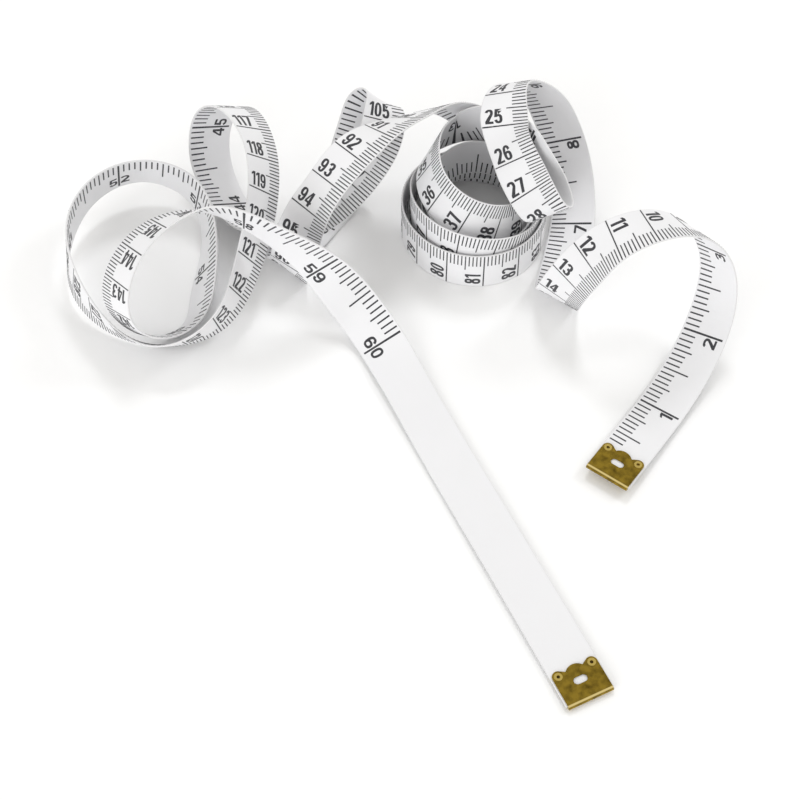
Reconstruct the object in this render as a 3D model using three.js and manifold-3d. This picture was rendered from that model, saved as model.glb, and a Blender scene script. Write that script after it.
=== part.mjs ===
import * as THREE from 'three';
import { mergeVertices } from 'three/addons/utils/BufferGeometryUtils.js';
import Module from 'manifold-3d';

const wasm = await Module();
wasm.setup();

// A soft tape measure lying in loose loops, with a folded brass clip on each end.
// Millimetres, Z up. It stands on Z = 0 with its centre over the origin.

// Tape
const TAPE_WIDTH = 13;
const TAPE_THICKNESS = 0.5;
const SEAM_GAP = 0.3;
const RING_PITCH = 3.6;
const END_STRAIGHT = 14;
const MERGE_TOLERANCE = 1e-4;

// Coil
const COIL_CENTRE_X = 21;
const COIL_CENTRE_Y = 61;
const COIL_STEPS_PER_TURN = 24;

// End clips, folded from sheet
const CLIP_WIDTH = 12.2;
const CLIP_DEPTH = 9.2;
const CLIP_SHEET = 0.35;
const CLIP_GRIP_CLEARANCE = 0.1;
const CLIP_FOLD_CLEARANCE = 0.2;
const CLIP_LOBE_RADIUS = 1.55;
const CLIP_LOBE_SWEEP = 120;
const CLIP_CROWN_RADIUS = 3;
const CLIP_CROWN_NOTCH = 1.1;
const CLIP_SLOT_LENGTH = 3.6;
const CLIP_SLOT_WIDTH = 1.9;
const CLIP_SLOT_SETBACK = 4.9;

// Eyelets through the lobes of each clip
const EYELET_BARREL_RADIUS = 0.62;
const EYELET_BORE_RADIUS = 0.36;
const EYELET_FLANGE_RADIUS = 1.1;
const EYELET_FLANGE_THICKNESS = 0.22;
const EYELET_CLEARANCE = 0.1;
const EYELET_SIDES = 16;
const ARC_STEPS = 8;

const tapeCloth = new THREE.MeshStandardMaterial({ color: 0xf3f2f5, roughness: 0.8, metalness: 0 });
const brass = new THREE.MeshStandardMaterial({ color: 0xb58a34, roughness: 0.35, metalness: 1 });

// Stations of the free stretches: a point of the tape's centre line, then the direction
// from there across the tape to its inch edge. Each list runs on into the next one.
const startStretchStations = [
  [61.5, -14.5, 2, -0.84, 0.55, 0],
  [72, 0.3, 1.6, -0.81, 0.59, -0.06],
];
const rightArchStations = [
  [79.7, 12.5, 4.7, -0.83, 0.52, -0.17],
  [84, 21.5, 11.3, -0.77, 0.58, -0.28],
  [84.3, 28.3, 22.1, -0.58, 0.69, -0.43],
  [78.6, 30.4, 32.2, -0.46, 0.8, -0.39],
  [68.1, 28.1, 39.1, -0.35, 0.91, -0.22],
  [56, 24.3, 37.9, -0.29, 0.95, 0.05],
  [48.6, 23.4, 28.8, -0.56, 0.77, 0.3],
  [44.3, 24.7, 17.7, -0.71, 0.63, 0.32],
  [42.9, 28.5, 7.6, -0.86, 0.41, 0.29],
  [43.4, 33.3, 3, -0.92, 0.32, 0.2],
];
const backHoopStations = [
  [45, 40.6, 0.8, -0.97, 0.22, 0.03],
  [48, 52.4, 1.2, -0.98, 0.18, -0.08],
  [49.8, 64.9, 3.9, -0.92, 0.22, -0.33],
  [48.7, 75.7, 10.7, -0.88, 0.22, -0.42],
  [44, 81.1, 22.4, -0.87, 0.2, -0.45],
  [38.2, 81.6, 33, -0.82, 0.38, -0.43],
  [32.5, 79.4, 38.5, -0.8, 0.4, -0.5],
  [29.2, 74.9, 40.5, -0.82, 0.25, -0.5],
  [28.2, 69, 39, -0.9, 0, -0.3],
  [28.8, 63.2, 35.6, -0.88, -0.4, 0],
  [31.7, 58, 30, -0.9, -0.38, -0.1],
  [35.5, 50, 26.8, -0.88, -0.05, -0.45],
  [39.8, 45.6, 23, -0.82, 0.08, -0.55],
  [41.6, 47.4, 20.8, -0.78, 0.1, -0.6],
  [41.2, 54.8, 22.2, -0.65, 0.1, -0.75],
  [38.8, 61.6, 26.4, -0.35, 0.3, -0.88],
  [34, 69, 29.5, -0.25, 0.3, -0.92],
  [27.6, 73, 28.6, -0.35, 0.2, -0.9],
];
const crossingLoopStations = [
  [14, 79.4, 28.6, -0.42, 0.42, -0.8],
  [5, 70.8, 35, -0.52, 0.58, -0.63],
  [-4, 62.6, 38, -0.6, 0.68, -0.4],
  [-12.5, 55, 37, -0.74, 0.67, -0.08],
  [-21.7, 45.8, 30.2, -0.72, 0.69, -0.1],
  [-27.2, 40.6, 20.6, -0.85, 0.48, 0.22],
  [-29.4, 37.8, 12.4, -0.86, 0.38, 0.36],
  [-31, 40.3, 5.4, -0.8, 0.48, 0.36],
  [-31.5, 46.5, 1.9, -0.86, 0.48, 0.1],
  [-26.4, 57, 0.7, -0.85, 0.53, 0],
  [-19.6, 67.3, 0.9, -0.84, 0.54, 0.03],
  [-15.2, 72.4, 4.4, -0.84, 0.5, 0.1],
  [-13.6, 71.8, 11, -0.9, 0.35, 0.2],
  [-13.6, 69.8, 18.5, -0.93, 0.3, 0.2],
  [-11, 75.5, 25, -0.87, 0.25, 0.42],
  [-8, 79.2, 30.8, -0.82, 0.12, 0.55],
  [-5.2, 77.6, 33.2, -0.8, 0.1, 0.6],
  [-4.8, 70.2, 30.1, -0.8, 0.15, 0.58],
  [-9.5, 62.5, 24.5, -0.8, 0.3, 0.5],
  [-16.8, 57, 18, -0.78, 0.35, 0.5],
  [-24.3, 53.6, 12.6, -0.68, 0.1, 0.72],
];
const leftLoopStations = [
  [-33.5, 51.6, 7.7, -0.5, -0.45, 0.74],
  [-43.8, 58.6, 4.2, -0.66, -0.57, 0.49],
  [-51, 69.8, 4, -0.75, -0.5, 0.44],
  [-55, 79.7, 9, -0.83, -0.46, 0.32],
  [-53.2, 84.3, 19.6, -0.85, -0.36, 0.4],
  [-45.7, 78.5, 29.2, -0.8, -0.38, 0.46],
  [-38.9, 66.2, 29, -0.68, -0.29, 0.68],
  [-37.8, 48.5, 22, -0.53, -0.3, 0.8],
  [-41.4, 32.5, 15.8, -0.4, -0.28, 0.87],
];
const sideRingStations = [
  [-48.9, 18.6, 9.5, -0.17, -0.43, 0.89],
  [-64, 13.2, 6.4, -0.14, -0.6, 0.78],
  [-78.5, 19.5, 7.1, 0, -0.3, 0.95],
  [-89, 32.5, 9.4, 0.19, -0.05, 0.98],
  [-91.9, 48.9, 11.2, 0.08, -0.12, 0.99],
  [-85.8, 63.4, 13, 0.08, -0.2, 0.98],
  [-72, 70.3, 12.7, 0.16, -0.24, 0.96],
  [-58.7, 65.4, 9.5, 0.21, -0.14, 0.96],
  [-53.8, 50.9, 6.8, 0.39, -0.08, 0.92],
  [-54.2, 33, 6, 0.6, -0.2, 0.77],
  [-56.2, 22, 5.8, 0.52, -0.4, 0.76],
  [-63, 16.2, 6.6, 0.46, -0.55, 0.7],
  [-70.2, 14.8, 10.8, 0.5, -0.62, 0.6],
  [-74.3, 16.2, 18, 0.62, -0.66, 0.42],
  [-73.2, 21.3, 26.8, 0.6, -0.69, 0.4],
  [-65.6, 30.5, 33.2, 0.46, -0.73, 0.5],
  [-52.6, 36.8, 34, 0.37, -0.58, 0.72],
];
const runOutStations = [
  [-38.2, 33.2, 32.8, 0.44, -0.4, 0.8],
  [-30.8, 32.3, 27.5, 0.51, -0.3, 0.8],
  [-21.4, 31, 18, 0.65, 0.04, 0.76],
  [-14.3, 27.3, 10, 0.76, 0.36, 0.53],
  [-7.3, 20, 4.4, 0.8, 0.45, 0.4],
  [-1, 9.3, 2, 0.9, 0.44, 0.08],
  [9, -11.5, 1.05, 0.9, 0.43, 0],
];
const tailLeaderStations = [
  [24, -42.5, 1.05, 0.91, 0.42, 0],
  [39, -73.5, 1.05, 0.91, 0.42, 0],
];

// A natural cubic spline through rows of numbers: no bend at its two ends,
// so the straight ends of the tape run on from it without a kink.
class NaturalSpline {
  constructor(knots, rows) {
    this.knots = knots;
    this.rows = rows;
    const count = rows.length;
    const width = rows[0].length;
    this.second = rows.map(() => new Array(width).fill(0));
    for (let column = 0; column < width; column++) {
      const upper = new Array(count).fill(0);
      const right = new Array(count).fill(0);
      for (let i = 1; i < count - 1; i++) {
        const before = knots[i] - knots[i - 1];
        const after = knots[i + 1] - knots[i];
        const slopeAfter = (rows[i + 1][column] - rows[i][column]) / after;
        const slopeBefore = (rows[i][column] - rows[i - 1][column]) / before;
        const pivot = 2 * (before + after) - before * upper[i - 1];
        upper[i] = after / pivot;
        right[i] = (6 * (slopeAfter - slopeBefore) - before * right[i - 1]) / pivot;
      }
      for (let i = count - 2; i > 0; i--) {
        this.second[i][column] = right[i] - upper[i] * this.second[i + 1][column];
      }
    }
  }

  at(index, fraction) {
    const span = this.knots[index + 1] - this.knots[index];
    const a = 1 - fraction;
    const b = fraction;
    const bendA = (a ** 3 - a) * span * span / 6;
    const bendB = (b ** 3 - b) * span * span / 6;
    return this.rows[index].map((value, column) => a * value + b * this.rows[index + 1][column]
      + bendA * this.second[index][column] + bendB * this.second[index + 1][column]);
  }

  slope(index, fraction) {
    const span = this.knots[index + 1] - this.knots[index];
    const a = 1 - fraction;
    const b = fraction;
    const bendA = (1 - 3 * a * a) * span / 6;
    const bendB = (3 * b * b - 1) * span / 6;
    return this.rows[index].map((value, column) => (this.rows[index + 1][column] - value) / span
      + bendA * this.second[index][column] + bendB * this.second[index + 1][column]);
  }
}

// The coil's wall by whole turns counted from the back: the turn, the radius, the height
// of the wall's middle and its lean inward in degrees. It comes in at the top, winds down
// to the floor and outward, lifts a little in its fourth turn and climbs out at the back.
const coilProfile = [
  [0.06, 16.2, 23.2, 8],
  [0.25, 13.3, 25.6, 28],
  [0.5, 16.1, 20, 14],
  [0.5625, 15.7, 16.9, 11],
  [0.625, 15.3, 14.8, 8],
  [0.75, 14.6, 12.6, 3],
  [1, 13.2, 14.4, 0],
  [1.25, 13.4, 11.4, 0],
  [1.4375, 18.2, 7.6, 0],
  [1.5, 18.9, 6.6, 0],
  [1.625, 18.4, 6.5, 0],
  [1.75, 16.4, 6.5, 0],
  [2, 15.2, 9.6, 0],
  [2.25, 14.6, 8.4, 0],
  [2.4375, 19.3, 6.5, 0],
  [2.5, 20, 6.5, 0],
  [2.625, 19.5, 6.5, 0],
  [2.75, 17.5, 6.5, 0],
  [3, 16.65, 6.6, 0],
  [3.25, 17.9, 12, 0],
  [3.5, 21.1, 12.8, 0],
  [3.625, 20.6, 9.2, 0],
  [3.75, 18.7, 8.3, 0],
  [4, 17.75, 6.7, 0],
  [4.25, 20.3, 6.5, 0],
  [4.5, 22.2, 6.5, 0],
  [4.625, 21.75, 6.7, 0],
  [4.75, 19.8, 9, 0],
  [4.96, 19, 20, 0],
];
const coilTurns = coilProfile.map(([turn]) => turn);
const coilWall = new NaturalSpline(coilTurns, coilProfile.map((row) => row.slice(1)));

function coilStation(turn) {
  const passed = coilTurns.filter((knot) => knot <= turn).length;
  const index = THREE.MathUtils.clamp(passed, 1, coilTurns.length - 1) - 1;
  const fraction = (turn - coilTurns[index]) / (coilTurns[index + 1] - coilTurns[index]);
  const [radius, middle, leanDegrees] = coilWall.at(index, fraction);
  const lean = THREE.MathUtils.degToRad(Math.max(0, leanDegrees));
  const height = Math.max(middle, Math.cos(lean) * TAPE_WIDTH / 2);
  const angle = Math.PI / 2 + 2 * Math.PI * turn;
  const outX = Math.cos(angle);
  const outY = Math.sin(angle);
  const x = COIL_CENTRE_X + radius * outX;
  const y = COIL_CENTRE_Y + radius * outY;
  return [x, y, height, outX * Math.sin(lean), outY * Math.sin(lean), -Math.cos(lean)];
}

function coilStations() {
  const firstTurn = coilTurns[0];
  const turns = coilTurns[coilTurns.length - 1] - firstTurn;
  const steps = Math.round(turns * COIL_STEPS_PER_TURN);
  const stations = [];
  for (let i = 0; i <= steps; i++) stations.push(coilStation(firstTurn + turns * i / steps));
  return stations;
}

const stretches = [
  ['start_stretch', startStretchStations],
  ['right_arch', rightArchStations],
  ['back_hoop', backHoopStations],
  ['coil', coilStations()],
  ['crossing_loop', crossingLoopStations],
  ['left_loop', leftLoopStations],
  ['side_ring', sideRingStations],
  ['run_out', runOutStations],
  ['tail_leader', tailLeaderStations],
];

// One cross-section of the tape: its centre, the way along, across and out of the inch face.
function section(centre, along, across) {
  const tangent = along.clone().normalize();
  const edge = across.clone().addScaledVector(tangent, -across.dot(tangent)).normalize();
  const face = new THREE.Vector3().crossVectors(tangent, edge);
  return { centre, tangent, edge, face };
}

const allStations = stretches.flatMap(([, stations]) => stations);
const centres = allStations.map((s) => s.slice(0, 3));
const acrosses = allStations.map((s) => new THREE.Vector3(...s.slice(3)).normalize().toArray());
const knots = [0];
for (let i = 1; i < centres.length; i++) {
  const step = new THREE.Vector3(...centres[i]).distanceTo(new THREE.Vector3(...centres[i - 1]));
  knots.push(knots[i - 1] + step);
}
const centreLine = new NaturalSpline(knots, centres);
const edgeLine = new NaturalSpline(knots, acrosses);

function splineSection(index, fraction) {
  const centre = new THREE.Vector3(...centreLine.at(index, fraction));
  const along = new THREE.Vector3(...centreLine.slope(index, fraction));
  const across = new THREE.Vector3(...edgeLine.at(index, fraction));
  return section(centre, along, across);
}

function moved(from, distance) {
  const centre = from.centre.clone().addScaledVector(from.tangent, distance);
  return { ...from, centre };
}

const lastIndex = allStations.length - 2;
const startJoin = splineSection(0, 0);
const tailJoin = splineSection(lastIndex, 1);
const startEnd = moved(startJoin, -END_STRAIGHT);
const tailEnd = moved(tailJoin, END_STRAIGHT);

// The sections of one stretch, from its first station to the first of the next stretch,
// drawn back by half a seam where it meets a neighbour.
function stretchSections(first, next) {
  const sections = [];
  const isFirst = first === 0;
  const isLast = next > lastIndex + 1;
  const end = isLast ? lastIndex + 1 : next;
  if (isFirst) sections.push(startEnd);
  for (let i = first; i < end; i++) {
    const span = knots[i + 1] - knots[i];
    const steps = Math.max(1, Math.round(span / RING_PITCH));
    for (let k = 0; k < steps; k++) sections.push(splineSection(i, k / steps));
  }
  sections.push(splineSection(end - 1, 1));
  if (isLast) sections.push(tailEnd);
  if (!isFirst) sections[0] = moved(sections[0], SEAM_GAP / 2);
  const tip = sections.length - 1;
  if (!isLast) sections[tip] = moved(sections[tip], -SEAM_GAP / 2);
  return sections;
}

// A closed band swept through the sections.
function bandGeometry(sections) {
  const corners = [[1, 1], [-1, 1], [-1, -1], [1, -1]];
  const positions = [];
  for (const s of sections) {
    for (const [side, face] of corners) {
      const corner = s.centre.clone();
      corner.addScaledVector(s.edge, side * TAPE_WIDTH / 2);
      corner.addScaledVector(s.face, face * TAPE_THICKNESS / 2);
      positions.push(...corner.toArray());
    }
  }
  const faces = [];
  const ring = corners.length;
  for (let i = 0; i < sections.length - 1; i++) {
    for (let k = 0; k < ring; k++) {
      const a = i * ring + k;
      const b = i * ring + (k + 1) % ring;
      faces.push(a, b, b + ring, a, b + ring, a + ring);
    }
  }
  const far = (sections.length - 1) * ring;
  faces.push(0, 2, 1, 0, 3, 2, far, far + 1, far + 2, far, far + 2, far + 3);
  const geometry = new THREE.BufferGeometry();
  geometry.setAttribute('position', new THREE.Float32BufferAttribute(positions, 3));
  geometry.setIndex(faces);
  return geometry;
}

// The least clear distance between layers of the tape that are not next to each other along it.
function leastGap(sections) {
  const travelled = [0];
  for (let i = 1; i < sections.length; i++) {
    travelled.push(travelled[i - 1] + sections[i].centre.distanceTo(sections[i - 1].centre));
  }
  const offset = new THREE.Vector3();
  const point = new THREE.Vector3();
  let least = Infinity;
  for (let i = 0; i < sections.length; i++) {
    for (const share of [-1, -0.5, 0, 0.5, 1]) {
      point.copy(sections[i].centre).addScaledVector(sections[i].edge, share * TAPE_WIDTH / 2);
      for (let j = 0; j < sections.length; j++) {
        if (Math.abs(travelled[i] - travelled[j]) < TAPE_WIDTH) continue;
        const other = sections[j];
        offset.subVectors(point, other.centre);
        if (Math.abs(offset.dot(other.tangent)) > RING_PITCH / 2) continue;
        if (Math.abs(offset.dot(other.edge)) > TAPE_WIDTH / 2) continue;
        least = Math.min(least, Math.abs(offset.dot(other.face)) - TAPE_THICKNESS);
      }
    }
  }
  return least;
}

function solidFrom(geometry) {
  const bare = new THREE.BufferGeometry();
  bare.setAttribute('position', geometry.getAttribute('position'));
  bare.setIndex(geometry.index);
  const merged = mergeVertices(bare, MERGE_TOLERANCE);
  const vertProperties = new Float32Array(merged.getAttribute('position').array);
  const triVerts = new Uint32Array(merged.index.array);
  return new wasm.Manifold(new wasm.Mesh({ numProp: 3, vertProperties, triVerts }));
}

function geometryFrom(solid) {
  const mesh = solid.getMesh();
  const geometry = new THREE.BufferGeometry();
  geometry.setAttribute('position', new THREE.Float32BufferAttribute(mesh.vertProperties, 3));
  geometry.setIndex([...mesh.triVerts]);
  geometry.computeVertexNormals();
  return geometry;
}

// Clip measures that follow from the tape and the sheet.
const clipInside = TAPE_THICKNESS / 2 + CLIP_GRIP_CLEARANCE;
const clipOutside = clipInside + CLIP_SHEET;
const lobeOffset = CLIP_WIDTH / 2 - CLIP_LOBE_RADIUS;
const lobeSetback = CLIP_DEPTH - CLIP_LOBE_RADIUS;
const eyeletHoleRadius = EYELET_BARREL_RADIUS + EYELET_CLEARANCE;

// The flat leaf of a clip: X runs in along the tape from the fold, Y across it.
// Its inner edge is a crown of two round lobes and a broad middle arc.
function clipLeafShape() {
  const half = CLIP_WIDTH / 2;
  const crownCentre = CLIP_DEPTH - CLIP_CROWN_RADIUS;
  const crownSpread = Math.acos(1 - CLIP_CROWN_NOTCH / CLIP_CROWN_RADIUS);
  const lobeTurn = THREE.MathUtils.degToRad(CLIP_LOBE_SWEEP);
  const shape = new THREE.Shape();
  shape.moveTo(0, -half);
  shape.lineTo(lobeSetback, -half);
  shape.absarc(lobeSetback, -lobeOffset, CLIP_LOBE_RADIUS, -Math.PI / 2, lobeTurn - Math.PI / 2, false);
  shape.absarc(crownCentre, 0, CLIP_CROWN_RADIUS, -crownSpread, crownSpread, false);
  shape.absarc(lobeSetback, lobeOffset, CLIP_LOBE_RADIUS, Math.PI / 2 - lobeTurn, Math.PI / 2, false);
  shape.lineTo(0, half);
  shape.closePath();
  const slotEnd = (CLIP_SLOT_LENGTH - CLIP_SLOT_WIDTH) / 2;
  const slot = new THREE.Path();
  slot.absarc(CLIP_SLOT_SETBACK, slotEnd, CLIP_SLOT_WIDTH / 2, 0, Math.PI, false);
  slot.absarc(CLIP_SLOT_SETBACK, -slotEnd, CLIP_SLOT_WIDTH / 2, Math.PI, 2 * Math.PI, false);
  slot.closePath();
  shape.holes.push(slot);
  for (const side of [-1, 1]) {
    const hole = new THREE.Path();
    hole.absarc(lobeSetback, side * lobeOffset, eyeletHoleRadius, 0, 2 * Math.PI, false);
    shape.holes.push(hole);
  }
  return shape;
}

// The folded end: a half ring of sheet, open towards the tape, run across the clip.
function clipFoldShape() {
  const lap = CLIP_SHEET;
  const shape = new THREE.Shape();
  shape.moveTo(lap, clipOutside);
  shape.lineTo(0, clipOutside);
  shape.absarc(0, 0, clipOutside, Math.PI / 2, 3 * Math.PI / 2, false);
  shape.lineTo(lap, -clipOutside);
  shape.lineTo(lap, -clipInside);
  shape.lineTo(0, -clipInside);
  shape.absarc(0, 0, clipInside, 3 * Math.PI / 2, Math.PI / 2, true);
  shape.lineTo(lap, clipInside);
  shape.closePath();
  return shape;
}

function clipGeometry() {
  const leafOptions = { depth: CLIP_SHEET, bevelEnabled: false, curveSegments: ARC_STEPS };
  const upper = new THREE.ExtrudeGeometry(clipLeafShape(), leafOptions);
  upper.translate(0, 0, clipInside);
  const lower = new THREE.ExtrudeGeometry(clipLeafShape(), leafOptions);
  lower.translate(0, 0, -clipOutside);
  const foldOptions = { depth: CLIP_WIDTH, bevelEnabled: false, curveSegments: ARC_STEPS };
  const fold = new THREE.ExtrudeGeometry(clipFoldShape(), foldOptions);
  fold.rotateX(Math.PI / 2);
  fold.translate(0, CLIP_WIDTH / 2, 0);
  return geometryFrom(solidFrom(upper).add(solidFrom(lower)).add(solidFrom(fold)));
}

// A tubular eyelet, its barrel through both leaves and a flange outside each.
function eyeletGeometry() {
  const seat = clipOutside + EYELET_CLEARANCE;
  const top = seat + EYELET_FLANGE_THICKNESS;
  const lip = EYELET_FLANGE_THICKNESS / 2;
  const profile = [
    [EYELET_BORE_RADIUS, -top],
    [EYELET_FLANGE_RADIUS - lip, -top],
    [EYELET_FLANGE_RADIUS, -seat - lip],
    [EYELET_FLANGE_RADIUS, -seat],
    [EYELET_BARREL_RADIUS, -seat],
    [EYELET_BARREL_RADIUS, seat],
    [EYELET_FLANGE_RADIUS, seat],
    [EYELET_FLANGE_RADIUS, seat + lip],
    [EYELET_FLANGE_RADIUS - lip, top],
    [EYELET_BORE_RADIUS, top],
    [EYELET_BORE_RADIUS, -top],
  ].map(([radius, height]) => new THREE.Vector2(radius, height));
  const geometry = new THREE.LatheGeometry(profile, EYELET_SIDES);
  geometry.rotateX(Math.PI / 2);
  return geometryFrom(solidFrom(geometry));
}

function namedMesh(name, geometry, material) {
  const mesh = new THREE.Mesh(geometry, material);
  mesh.name = name;
  return mesh;
}

// A frame on a tape end: X in along the tape, Z out of the inch face.
function endFrame(end, inward) {
  const x = end.tangent.clone().multiplyScalar(inward);
  const y = end.edge.clone().multiplyScalar(inward);
  const origin = end.centre.clone().addScaledVector(x, -CLIP_FOLD_CLEARANCE);
  return new THREE.Matrix4().makeBasis(x, y, end.face).setPosition(origin);
}

function addClip(parent, prefix, frame) {
  const group = new THREE.Group();
  group.applyMatrix4(frame);
  group.add(namedMesh(prefix + '_clip', clipGeometry(), brass));
  const sides = [['left', 1], ['right', -1]];
  for (const [label, side] of sides) {
    const eyelet = namedMesh(prefix + '_eyelet_' + label, eyeletGeometry(), brass);
    eyelet.position.set(lobeSetback, side * lobeOffset, 0);
    group.add(eyelet);
  }
  parent.add(group);
}

// Round holes for the eyelets through the end of a stretch.
function punched(geometry, frame) {
  let solid = solidFrom(geometry);
  for (const side of [-1, 1]) {
    const length = 2 * clipOutside;
    const drill = new THREE.CylinderGeometry(eyeletHoleRadius, eyeletHoleRadius, length, EYELET_SIDES);
    drill.rotateX(Math.PI / 2);
    drill.translate(lobeSetback, side * lobeOffset, 0);
    drill.applyMatrix4(frame);
    solid = solid.subtract(solidFrom(drill));
  }
  return geometryFrom(solid);
}

const tapeMeasure = new THREE.Group();
const startFrame = endFrame(startEnd, 1);
const tailFrame = endFrame(tailEnd, -1);
const wholeTape = [];
let firstStation = 0;
for (const [name, stations] of stretches) {
  const nextStation = firstStation + stations.length;
  const sections = stretchSections(firstStation, nextStation);
  wholeTape.push(...sections);
  let geometry = bandGeometry(sections);
  if (name === 'start_stretch') geometry = punched(geometry, startFrame);
  if (name === 'tail_leader') geometry = punched(geometry, tailFrame);
  if (name === 'coil') console.log('least gap in the coil, mm:', leastGap(sections).toFixed(2));
  tapeMeasure.add(namedMesh(name, geometry, tapeCloth));
  firstStation = nextStation;
}
console.log('least gap between layers of the tape, mm:', leastGap(wholeTape).toFixed(2));
addClip(tapeMeasure, 'start', startFrame);
addClip(tapeMeasure, 'tail', tailFrame);

// Stand the whole on Z = 0, centred over the origin.
const extent = new THREE.Box3().setFromObject(tapeMeasure, true);
const middle = extent.getCenter(new THREE.Vector3());
tapeMeasure.position.set(-middle.x, -middle.y, -extent.min.z);
const laidOut = new THREE.Group();
laidOut.add(tapeMeasure);

export default laidOut;
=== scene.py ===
"""A soft tape measure lying in loose loops, with a folded brass clip on each end.

The band is cut and printed flat, as a real one is, and Geometry Nodes then lay it along its
route. Everything is in metres, Z up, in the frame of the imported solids.
"""

import logging
import math
from collections.abc import Callable, Sequence
from dataclasses import dataclass, field
from enum import Enum

import bmesh
import bpy
import numpy as np
from mathutils import Matrix, Vector


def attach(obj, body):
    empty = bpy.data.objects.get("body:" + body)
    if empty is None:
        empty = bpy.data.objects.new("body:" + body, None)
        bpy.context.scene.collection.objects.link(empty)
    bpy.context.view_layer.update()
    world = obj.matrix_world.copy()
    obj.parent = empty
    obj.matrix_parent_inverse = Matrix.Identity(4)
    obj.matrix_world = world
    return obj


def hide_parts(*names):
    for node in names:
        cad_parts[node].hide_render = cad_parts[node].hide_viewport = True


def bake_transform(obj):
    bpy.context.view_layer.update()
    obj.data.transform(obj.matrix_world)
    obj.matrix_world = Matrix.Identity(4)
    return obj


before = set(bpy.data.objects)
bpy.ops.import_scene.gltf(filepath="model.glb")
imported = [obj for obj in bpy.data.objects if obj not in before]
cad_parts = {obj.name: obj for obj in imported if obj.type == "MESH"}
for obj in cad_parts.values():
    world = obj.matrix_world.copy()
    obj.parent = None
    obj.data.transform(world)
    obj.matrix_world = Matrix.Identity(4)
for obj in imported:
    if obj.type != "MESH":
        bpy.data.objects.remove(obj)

LOG = logging.getLogger("tape_measure")
MM = 0.001
INCH = 25.4 * MM
CUT_MAP = "cut"
LEVEL_ANGLE = math.radians(1)
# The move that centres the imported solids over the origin.
CENTRING = (1.7291 * MM, 1.3546 * MM, 0.0)

Point = tuple[float, float]
Row = tuple[float, float, float, float, float, float]
Colour = Sequence[float] | bpy.types.NodeSocket

# Stations of the route in millimetres: a point of the tape's centre line, then the direction
# from there across the tape to its inch edge. Each list runs on into the next one.
START_STRETCH: list[Row] = [
    (61.5, -14.5, 2, -0.84, 0.55, 0),
    (72, 0.3, 1.6, -0.81, 0.59, -0.06),
]
RIGHT_ARCH: list[Row] = [
    (79.7, 12.5, 4.7, -0.83, 0.52, -0.17),
    (84, 21.5, 11.3, -0.77, 0.58, -0.28),
    (84.3, 28.3, 22.1, -0.58, 0.69, -0.43),
    (78.6, 30.4, 32.2, -0.46, 0.8, -0.39),
    (68.1, 28.1, 39.1, -0.35, 0.91, -0.22),
    (56, 24.3, 37.9, -0.29, 0.95, 0.05),
    (48.6, 23.4, 28.8, -0.56, 0.77, 0.3),
    (44.3, 24.7, 17.7, -0.71, 0.63, 0.32),
    (42.9, 28.5, 7.6, -0.86, 0.41, 0.29),
    (43.4, 33.3, 3, -0.92, 0.32, 0.2),
]
BACK_HOOP: list[Row] = [
    (45, 40.6, 0.8, -0.97, 0.22, 0.03),
    (48, 52.4, 1.2, -0.98, 0.18, -0.08),
    (49.8, 64.9, 3.9, -0.92, 0.22, -0.33),
    (48.7, 75.7, 10.7, -0.88, 0.22, -0.42),
    (44, 81.1, 22.4, -0.87, 0.2, -0.45),
    (38.2, 81.6, 33, -0.82, 0.38, -0.43),
    (32.5, 79.4, 38.5, -0.8, 0.4, -0.5),
    (29.2, 74.9, 40.5, -0.82, 0.25, -0.5),
    (28.2, 69, 39, -0.9, 0, -0.3),
    (28.8, 63.2, 35.6, -0.88, -0.4, 0),
    (31.7, 58, 30, -0.9, -0.38, -0.1),
    (35.5, 50, 26.8, -0.88, -0.05, -0.45),
    (39.8, 45.6, 23, -0.82, 0.08, -0.55),
    (41.6, 47.4, 20.8, -0.78, 0.1, -0.6),
    (41.2, 54.8, 22.2, -0.65, 0.1, -0.75),
    (38.8, 61.6, 26.4, -0.35, 0.3, -0.88),
    (34, 69, 29.5, -0.25, 0.3, -0.92),
    (27.6, 73, 28.6, -0.35, 0.2, -0.9),
]
# The coil by turns from the back: the turn, the radius, the height of the wall's middle and
# its lean inward in degrees.
COIL_WALL: list[tuple[float, float, float, float]] = [
    (0.06, 16.2, 23.2, 8),
    (0.25, 13.3, 25.6, 28),
    (0.5, 16.1, 20, 14),
    (0.5625, 15.7, 16.9, 11),
    (0.625, 15.3, 14.8, 8),
    (0.75, 14.6, 12.6, 3),
    (1, 13.2, 14.4, 0),
    (1.25, 13.4, 11.4, 0),
    (1.4375, 18.2, 7.6, 0),
    (1.5, 18.9, 6.6, 0),
    (1.625, 18.4, 6.5, 0),
    (1.75, 16.4, 6.5, 0),
    (2, 15.2, 9.6, 0),
    (2.25, 14.6, 8.4, 0),
    (2.4375, 19.3, 6.5, 0),
    (2.5, 20, 6.5, 0),
    (2.625, 19.5, 6.5, 0),
    (2.75, 17.5, 6.5, 0),
    (3, 16.65, 6.6, 0),
    (3.25, 17.9, 12, 0),
    (3.5, 21.1, 12.8, 0),
    (3.625, 20.6, 9.2, 0),
    (3.75, 18.7, 8.3, 0),
    (4, 17.75, 6.7, 0),
    (4.25, 20.3, 6.5, 0),
    (4.5, 22.2, 6.5, 0),
    (4.625, 21.75, 6.7, 0),
    (4.75, 19.8, 9, 0),
    (4.96, 19, 20, 0),
]
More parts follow.
